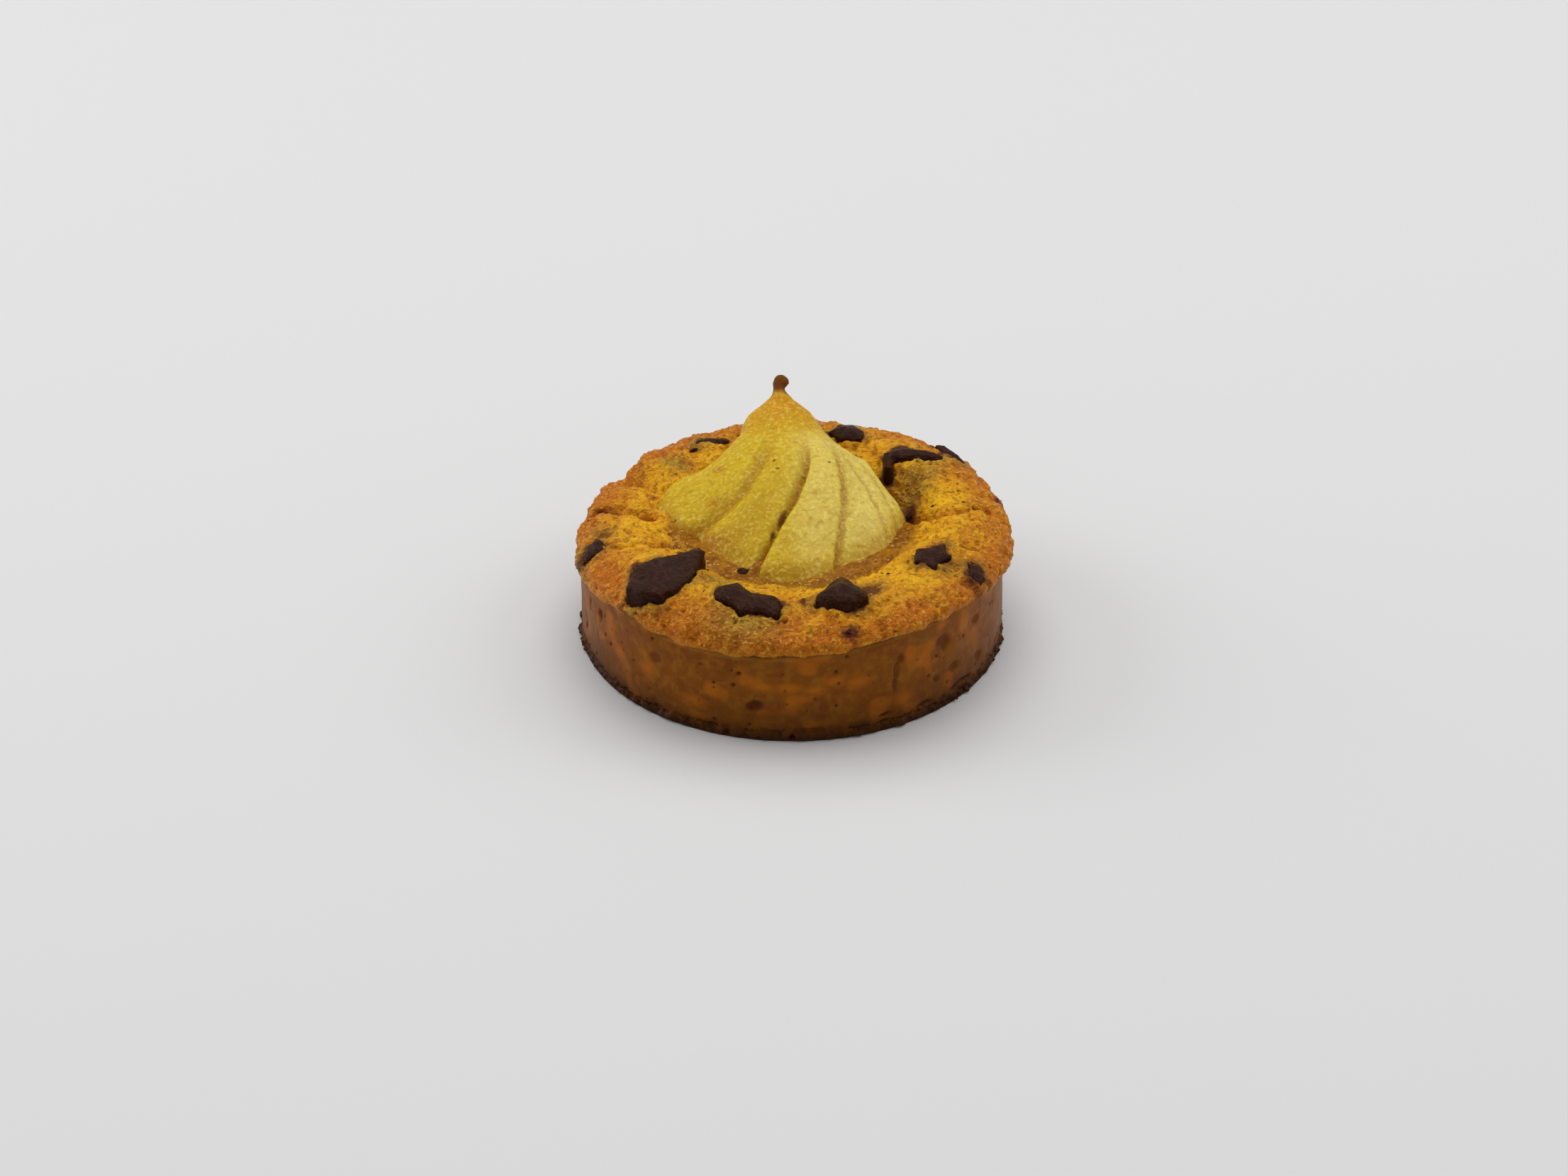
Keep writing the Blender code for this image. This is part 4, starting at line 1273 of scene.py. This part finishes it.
def slice_shell(left, right, crown):
    """Rings of points round one slice of the pear, from the neck to its rounded end."""
    t = np.linspace(0.0, 1.0, 120)
    first, second = along_seam(left, t), along_seam(right, t)
    width = np.linalg.norm((second - first)[:, :2], axis=1)
    rise, (left_drop, left_reach), (right_drop, right_reach), dive = crown
    lip = smooth(0.04, 0.32, t) * (1.0 - 0.6 * smooth(0.85, 1.0, t))
    top = []
    for u in 0.5 - 0.5 * np.cos(np.linspace(0.0, math.pi, 41)):
        point = first + (second - first) * u
        arch = max(1.0 - (2.0 * u - 1.0) ** 2, 0.0) ** 0.85
        point[:, 2] += rise * width * arch * (1.0 - 0.5 * t**4)
        point[:, 2] -= left_drop * lip * np.exp(-((u * width / left_reach) ** 2))
        point[:, 2] -= right_drop * lip * np.exp(-(((1.0 - u) * width / right_reach) ** 2))
        point[:, 2] -= PEAR_DIVE * smooth(dive, 1.0, t)
        top.append(point)
    foot = [first + (second - first) * u for u in (0.98, 0.5, 0.02)]
    for point in foot:
        point[:, 2] = PEAR_BED
    return np.stack(top + foot, 1)


def neck_shell():
    """Rings of points round the neck."""
    sections = np.array(PEAR_NECK)
    y = np.linspace(sections[0, 1], sections[-1, 1], 60)
    x, width, top, under = (np.interp(y, sections[:, 1], sections[:, i]) for i in (0, 2, 3, 4))
    turn = np.radians(np.linspace(0.0, 180.0, 37))
    rise = np.maximum(np.sin(turn), 0.0) ** 0.8
    return np.stack([
        np.stack([x - 0.5 * width * math.cos(a), y, under + (top - under) * r], 1) for a, r in zip(turn, rise)
    ], 1)


def stub_shell():
    """Rings of points round the dried stub, which curls to the right at its tip."""
    knots = np.array(STUB)
    t = np.linspace(0, len(knots) - 1, 30)
    line = np.stack([np.interp(t, range(len(knots)), knots[:, i]) for i in range(4)], 1)
    ahead = np.gradient(line[:, :3], axis=0)
    ahead /= np.linalg.norm(ahead, axis=1)[:, None]
    side = np.cross(ahead, (1.0, 0.0, 0.0))
    side /= np.linalg.norm(side, axis=1)[:, None]
    other = np.cross(ahead, side)
    turn = np.radians(np.arange(0, 360, 20))
    ridge = 1.0 + 0.2 * np.cos(3 * turn) + 0.08 * np.cos(7 * turn)
    return np.stack([
        line[:, :3] + (side * math.cos(a) + other * math.sin(a)) * (line[:, 3] * r)[:, None]
        for a, r in zip(turn, ridge)
    ], 1)


def shell_faces(rows, columns):
    """Faces of a closed shell of rings with flat ends."""
    corners = np.arange(1, columns - 1)
    fan = np.stack([0 * corners, corners, corners + 1], 1)
    return itertools.chain(
        ring_faces(rows, columns).tolist(), fan[:, ::-1].tolist(), (fan + (rows - 1) * columns).tolist()
    )


def joined_shells(name, shells):
    """One object that holds closed shells, each with its faces outwards."""
    bm = bmesh.new()
    for shell in shells:
        verts = [bm.verts.new(point) for point in (shell.reshape(-1, 3) * MM).tolist()]
        for face in shell_faces(*shell.shape[:2]):
            bm.faces.new([verts[i] for i in face])
    bmesh.ops.recalc_face_normals(bm, faces=bm.faces[:])
    return from_bmesh(name, bm)


def make_pear(lump_height, look):
    """Half a pear, cut in slices that hold together at the neck and fan out to their rounded ends."""
    shells = [slice_shell(*seams) for seams in zip(PEAR_SEAMS, PEAR_SEAMS[1:], PEAR_CROWNS)]
    shells += [neck_shell(), stub_shell()]
    pear = joined_shells("fanned_pear_baked", shells)
    remeshed(pear, PEAR_VOXEL)
    mesh = pear.data
    points = points_of(mesh)
    y = points[:, 1:2]
    # The cuts close towards the neck, so the skin is drawn smooth there and left sharp at the ends
    blend = smooth(17.0, 25.0, y) * (1.0 - smooth(34.5, 36.5, y))
    points = relaxed(mesh, points, 3) * (1.0 - blend) + relaxed(mesh, points, 26) * blend
    set_points(mesh, points)
    x, y, z = points.T
    # Painted shade along the cuts, and over the belly of the second slice
    crease_shade = np.zeros(len(points))
    for number, left, right, strength in PEAR_CREASES:
        seam = np.array(PEAR_SEAMS[number])
        beside = np.interp(-y, -seam[:, 1], seam[:, 0])
        wide = np.where(x < beside, left, right)
        crease_shade = np.maximum(crease_shade, strength * near_line(x, y, seam[:, :2].tolist(), wide))
    # Painted light: the upper slices on the right, where the lamps fall, are coloured paler and made glossier
    bright = smooth(-3.0, 5.0, x) * (0.7 + 0.3 * smooth(8.0, 13.0, x))
    for label, values in {
        "relief": smooth(16.8, 18.4, z),
        "stub": smooth(34.6, 36.2, y),
        "crease_shade": np.maximum(crease_shade, 0.45 * mound(x, y, *PEAR_SHADE)) * (1.0 - smooth(12.0, 22.0, y)),
        "gold": np.maximum(smooth(20.0, 33.5, y), mound(x, y, *PEAR_STREAK)),
        "low": (1.0 - smooth(18.2, 22.0, z)) * (1.0 - 0.3 * smooth(-4.0, 4.0, x)),
        "patch": marks(x, y, PEAR_PATCHES),
        "speck": marks(x, y, PEAR_SPECKS),
        "bright": bright * (1.0 - smooth(20.0, 26.0, y)) * (0.35 + 0.65 * smooth(19.0, 23.0, z)),
        "fan_turn": 20.0 * np.arctan2(x - FAN_MIDDLE[0], FAN_MIDDLE[1] - y),
        "fan_away": np.hypot(x - FAN_MIDDLE[0], FAN_MIDDLE[1] - y),
    }.items():
        set_field(mesh, label, values)
    relief = (0.005, 0.0007, 0.0015, lump_height, *PEAR_GRAIN)
    baked(pear, material_named(pear_flesh, look), relief)
    # The hollow field, by which the pear is painted with shade in its hollows and light on its edges
    set_field(pear.data, "hollow", hollowness(pear.data, 8, 0.22))
    return pear


# Chocolate

def make_chunk(name, look):
    """One piece of broken chocolate in its pocket, its top risen from the edge to a worn ridge."""
    (px, py), corners, thickness, showing, slope, lean = CHOCOLATE[name]
    bm = bmesh.new()
    bottom = bm.faces.new([bm.verts.new((x * MM, y * MM, -thickness * MM)) for x, y in corners])
    made = bmesh.ops.extrude_face_region(bm, geom=[bottom])
    raised = [item for item in made["geom"] if isinstance(item, bmesh.types.BMVert)]
    bmesh.ops.translate(bm, verts=raised, vec=(0.0, 0.0, thickness * MM))
    bmesh.ops.recalc_face_normals(bm, faces=bm.faces[:])
    bmesh.ops.triangulate(bm, faces=bm.faces[:])
    piece = from_bmesh(name + "_broken", bm)
    remeshed(piece, CHOCOLATE_VOXEL)
    mesh = piece.data
    points = relaxed(mesh, points_of(mesh), 2)
    inside = np.maximum(-outline_distance(points[:, 0], points[:, 1], corners), 0.0)
    upper = smooth(-1.2, -0.1, points[:, 2])
    ridge = slope * np.minimum(inside, 3.4) - 0.3 * np.exp(-((inside / 0.45) ** 2))
    points[:, 2] += (ridge - lean * points[:, 1]) * upper
    points[:, 2] += 0.16 * cloud(points + px, 1.9, 61) * upper
    points[:, :2] *= 1.0 + 0.03 * cloud(points + py, 1.6, 62)[:, None]
    turn = filling_tilt(px, py).to_3x3()
    place = np.array([px, py, float(bare_height(px, py))]) + np.array(turn @ Vector((0.0, 0.0, showing)))
    set_points(mesh, points @ np.array(turn).T + place)
    set_field(mesh, "relief", np.ones(len(points)))
    baked(piece, material_named(dark_chocolate, look), CHOCOLATE_RELIEF)
    # The hollow field, by which the chocolate's edges are painted lighter as highlights
    set_field(piece.data, "hollow", hollowness(piece.data, 5, 0.15))
    return piece


def make_bits(look):
    """The crumbs, streaks and melted spots of chocolate, as low domes on the filling."""
    bm = bmesh.new()
    for (px, py), (along, across), turn, height in CHOCOLATE_BITS:
        z = float(bare_height(px, py) + fine_height(np.array(px), np.array(py)))
        place = Matrix.Translation((px * MM, py * MM, z * MM)) @ filling_tilt(px, py)
        place = place @ Matrix.Rotation(math.radians(turn), 4, "Z") @ Matrix.Diagonal((along, across, height, 1.0))
        bmesh.ops.create_icosphere(bm, subdivisions=3, radius=MM, matrix=place)
    bits = from_bmesh("chocolate_bits", bm)
    remeshed(bits, BITS_VOXEL)
    set_field(bits.data, "relief", np.ones(len(bits.data.vertices)))
    baked(bits, material_named(dark_chocolate, look), BITS_RELIEF)
    return bits


# Syrup

def make_syrup(look):
    """The syrup that stands in the dip, a clear layer that meets the filling and the pear at its shore."""
    around = np.arange(SYRUP_COLUMNS) * 360.0 / SYRUP_COLUMNS
    radii = np.arange(2.0, SYRUP_REACH + 0.01, 0.35)
    radius, angle = np.repeat(radii, SYRUP_COLUMNS), np.tile(around, len(radii))
    flat = polar(angle, radius, 0 * radius)
    x, y, _ = flat.T
    away = np.maximum(outline_distance(x, y, PEAR_FOOT), 0.0)
    climb = 1.2 - mound(x, y, *SYRUP_LOW)
    level = bare_height(x, y) + fine_height(x, y) - 0.7 + climb * np.exp(-((away / 2.2) ** 2))
    level += 0.2 * cloud(flat, 2.5, 71) + 0.12 * cloud(flat, 1.1, 72)
    for *place, lift in SYRUP_POOLS:
        level += lift * smooth(0.1, 0.7, mound(x, y, *place))
    level = np.maximum(level - 3.0 * smooth(22.0, SYRUP_REACH, radius), SYRUP_FLOOR + 0.05)
    above = np.stack([x, y, level], 1)
    below = np.stack([x, y, np.full(len(x), SYRUP_FLOOR)], 1)
    below = below.reshape(len(radii), SYRUP_COLUMNS, 3)[::-1].reshape(-1, 3)
    middles = (0, 0, DIP_HEIGHT), (0, 0, SYRUP_FLOOR)
    syrup = new_piece("pear_syrup", *closed_rings(np.concatenate([above, below]), SYRUP_COLUMNS, *middles))
    syrup.data.materials.append(material_named(pear_syrup, look))
    return syrup


def mark_froth(syrup):
    """Says where bubbles stand on the syrup: close together along the froth and a few elsewhere."""
    x, y, z = points_of(syrup.data).T
    radius = np.hypot(x, y)
    froth = np.maximum(near_line(x, y, FROTH, 0.8), 0.08 * smooth(13.0, 15.0, radius))
    set_field(syrup.data, "crumb", froth * (z > 18.0) * (radius < 23.5))


# Settings that a user would change

def colour_setting(name, description, code):
    return FloatVectorProperty(
        name=name, description=description, subtype="COLOR", default=linear(code), min=0.0, max=1.0
    )


def height_setting(name, description, height):
    return FloatProperty(name=name, description=description, default=height, subtype="DISTANCE", unit="LENGTH")


class TartLook(bpy.types.PropertyGroup):
    crust: colour_setting("Crust", "Baked shortcrust", "#864c00")
    crumb: colour_setting("Crumb", "Almond filling inside the ring", "#e6a000")
    flesh: colour_setting("Pear", "Pear flesh", "#c8a414")
    chocolate: colour_setting("Chocolate", "Dark chocolate", "#2c1002")
    syrup: colour_setting("Syrup", "Reduced syrup", "#844a00")


class TartShape(bpy.types.PropertyGroup):
    pits: IntProperty(name="Small Pits", description="Air pits in the case's wall", default=110, min=0, max=400)
    swelling: height_setting("Swelling", "Height of the filling's soft swellings", 0.0026)
    lumps: height_setting("Lumps", "Height of the crumb's lumps", 0.0012)
    flesh_lumps: height_setting("Pear Lumps", "Height of the pear's lumps", 0.0003)


class TartStage(bpy.types.PropertyGroup):
    floor: colour_setting("Floor", "Pale floor", "#dcdcdc")
    sky: FloatProperty(name="Soft Light", description="Light from all round", default=0.37, min=0.0, max=5.0)
    key: FloatProperty(name="Top Light", description="Soft light from above", default=8.0, min=0.0, unit="POWER")


class TART_OT_case(bpy.types.Operator):
    """Makes the shortcrust case"""
    bl_idname = "tart.case"
    bl_label = "Shortcrust Case"

    def execute(self, context):
        case = make_case(context.scene.tart_shape, context.scene.tart_look)
        declare(case, "shortcrust", "shortcrust_case")
        return {"FINISHED"}


class TART_OT_filling(bpy.types.Operator):
    """Makes the almond filling"""
    bl_idname = "tart.filling"
    bl_label = "Almond Filling"

    def execute(self, context):
        filling = make_filling(context.scene.tart_shape, context.scene.tart_look)
        declare(filling, "almond_sponge", "almond_filling")
        return {"FINISHED"}


class TART_OT_pear(bpy.types.Operator):
    """Makes the fanned half pear"""
    bl_idname = "tart.pear"
    bl_label = "Fanned Pear"

    def execute(self, context):
        pear = make_pear(context.scene.tart_shape.flesh_lumps, context.scene.tart_look)
        declare(pear, "pear_flesh", "fanned_pear")
        return {"FINISHED"}


class TART_OT_chocolate(bpy.types.Operator):
    """Makes the eleven pieces of dark chocolate and the small bits round them"""
    bl_idname = "tart.chocolate"
    bl_label = "Dark Chocolate"

    def execute(self, context):
        look = context.scene.tart_look
        for name in CHOCOLATE:
            declare(make_chunk(name, look), "dark_chocolate", name)
        declare(make_bits(look), "dark_chocolate")
        return {"FINISHED"}


class TART_OT_syrup(bpy.types.Operator):
    """Makes the syrup in the dip and its bubbles"""
    bl_idname = "tart.syrup"
    bl_label = "Syrup"

    def execute(self, context):
        look = context.scene.tart_look
        syrup = make_syrup(look)
        declare(syrup, "pear_flesh")
        mark_froth(syrup)
        declare(strewn_over(syrup, "syrup_bubbles", material_named(syrup_bubble, look), BUBBLES), "pear_flesh")
        return {"FINISHED"}


class TART_OT_crumbs(bpy.types.Operator):
    """Strews crumbs over the filling and the foot of the case"""
    bl_idname = "tart.crumbs"
    bl_label = "Crumbs"

    def execute(self, context):
        for source, name, make, numbers in (
            ("almond_filling_baked", "almond_crumbs", almond_sponge, ALMOND_CRUMBS),
            ("shortcrust_case_baked", "shortcrust_crumbs", shortcrust, SHORTCRUST_CRUMBS),
        ):
            material = material_named(make, context.scene.tart_look)
            declare(strewn_over(bpy.data.objects[source], name, material, numbers), make.__name__)
        return {"FINISHED"}


class TART_OT_stage(bpy.types.Operator):
    """Makes the pale floor, the soft lights and the camera"""
    bl_idname = "tart.stage"
    bl_label = "Stage"

    def execute(self, context):
        stage = context.scene.tart_stage
        bpy.ops.mesh.primitive_plane_add(size=6.0)
        floor = context.object
        floor.name = "floor"
        material = new_material("floor_matt_pale", Roughness=0.7, Base_Color=(*stage.floor, 1.0))[0]
        floor.data.materials.append(material)
        floor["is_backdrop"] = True
        world = context.scene.world or bpy.data.worlds.new("soft_room")
        context.scene.world = world
        world.use_nodes = True
        sky = world.node_tree.nodes["Background"]
        sky.inputs["Color"].default_value = (1.0, 1.0, 1.0, 1.0)
        sky.inputs["Strength"].default_value = stage.sky
        for name, place, size, share in LIGHTS:
            lamp = bpy.data.lights.new(name, "AREA")
            lamp.size = size
            lamp.energy = stage.key * share
            light = linked(name, lamp)
            light.location = place
            light.rotation_euler = (-Vector(place)).to_track_quat("-Z", "Y").to_euler()
        rise = math.radians(CAMERA_RISE)
        camera = linked("camera", bpy.data.cameras.new("camera"))
        camera.data.lens = CAMERA_LENS
        camera.data.sensor_width = 36.0
        camera.location = Vector((
            CAMERA_AIM[0], CAMERA_AIM[1] - CAMERA_AWAY * math.cos(rise), CAMERA_AIM[2] + CAMERA_AWAY * math.sin(rise)
        )) * MM
        camera.rotation_euler = (math.pi / 2 - rise, 0.0, 0.0)
        context.scene.camera = camera
        context.scene.view_settings.view_transform = "Standard"
        return {"FINISHED"}


OPERATORS = (
    TART_OT_case, TART_OT_filling, TART_OT_pear, TART_OT_chocolate, TART_OT_syrup, TART_OT_crumbs, TART_OT_stage,
)


class TART_PT_panel(bpy.types.Panel):
    """The tart's pieces and settings"""
    bl_idname = "TART_PT_panel"
    bl_label = "Pear Almond Tart"
    bl_space_type = "VIEW_3D"
    bl_region_type = "UI"
    bl_category = "Tart"

    def draw(self, context):
        layout = self.layout
        for group, names in (
            (context.scene.tart_look, ("crust", "crumb", "flesh", "chocolate", "syrup")),
            (context.scene.tart_shape, ("pits", "swelling", "lumps", "flesh_lumps")),
            (context.scene.tart_stage, ("floor", "sky", "key")),
        ):
            for name in names:
                layout.prop(group, name)
        for operator in OPERATORS:
            layout.operator(operator.bl_idname)


GROUPS = (("tart_look", TartLook), ("tart_shape", TartShape), ("tart_stage", TartStage))


def register():
    for _, group in GROUPS:
        bpy.utils.register_class(group)
    for name, group in GROUPS:
        setattr(bpy.types.Scene, name, PointerProperty(type=group))
    for operator in OPERATORS:
        bpy.utils.register_class(operator)
    bpy.utils.register_class(TART_PT_panel)


def unregister():
    bpy.utils.unregister_class(TART_PT_panel)
    for operator in reversed(OPERATORS):
        bpy.utils.unregister_class(operator)
    for name, group in reversed(GROUPS):
        delattr(bpy.types.Scene, name)
        bpy.utils.unregister_class(group)


def main():
    register()
    bpy.ops.tart.case()
    bpy.ops.tart.filling()
    bpy.ops.tart.pear()
    bpy.ops.tart.chocolate()
    bpy.ops.tart.syrup()
    bpy.ops.tart.crumbs()
    bpy.ops.tart.stage()
    boxes = {"cad": CAD_BOX, "visual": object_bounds()}
    {name: [list(corner) for corner in box] for name, box in boxes.items()}


if __name__ == "__main__":
    main()
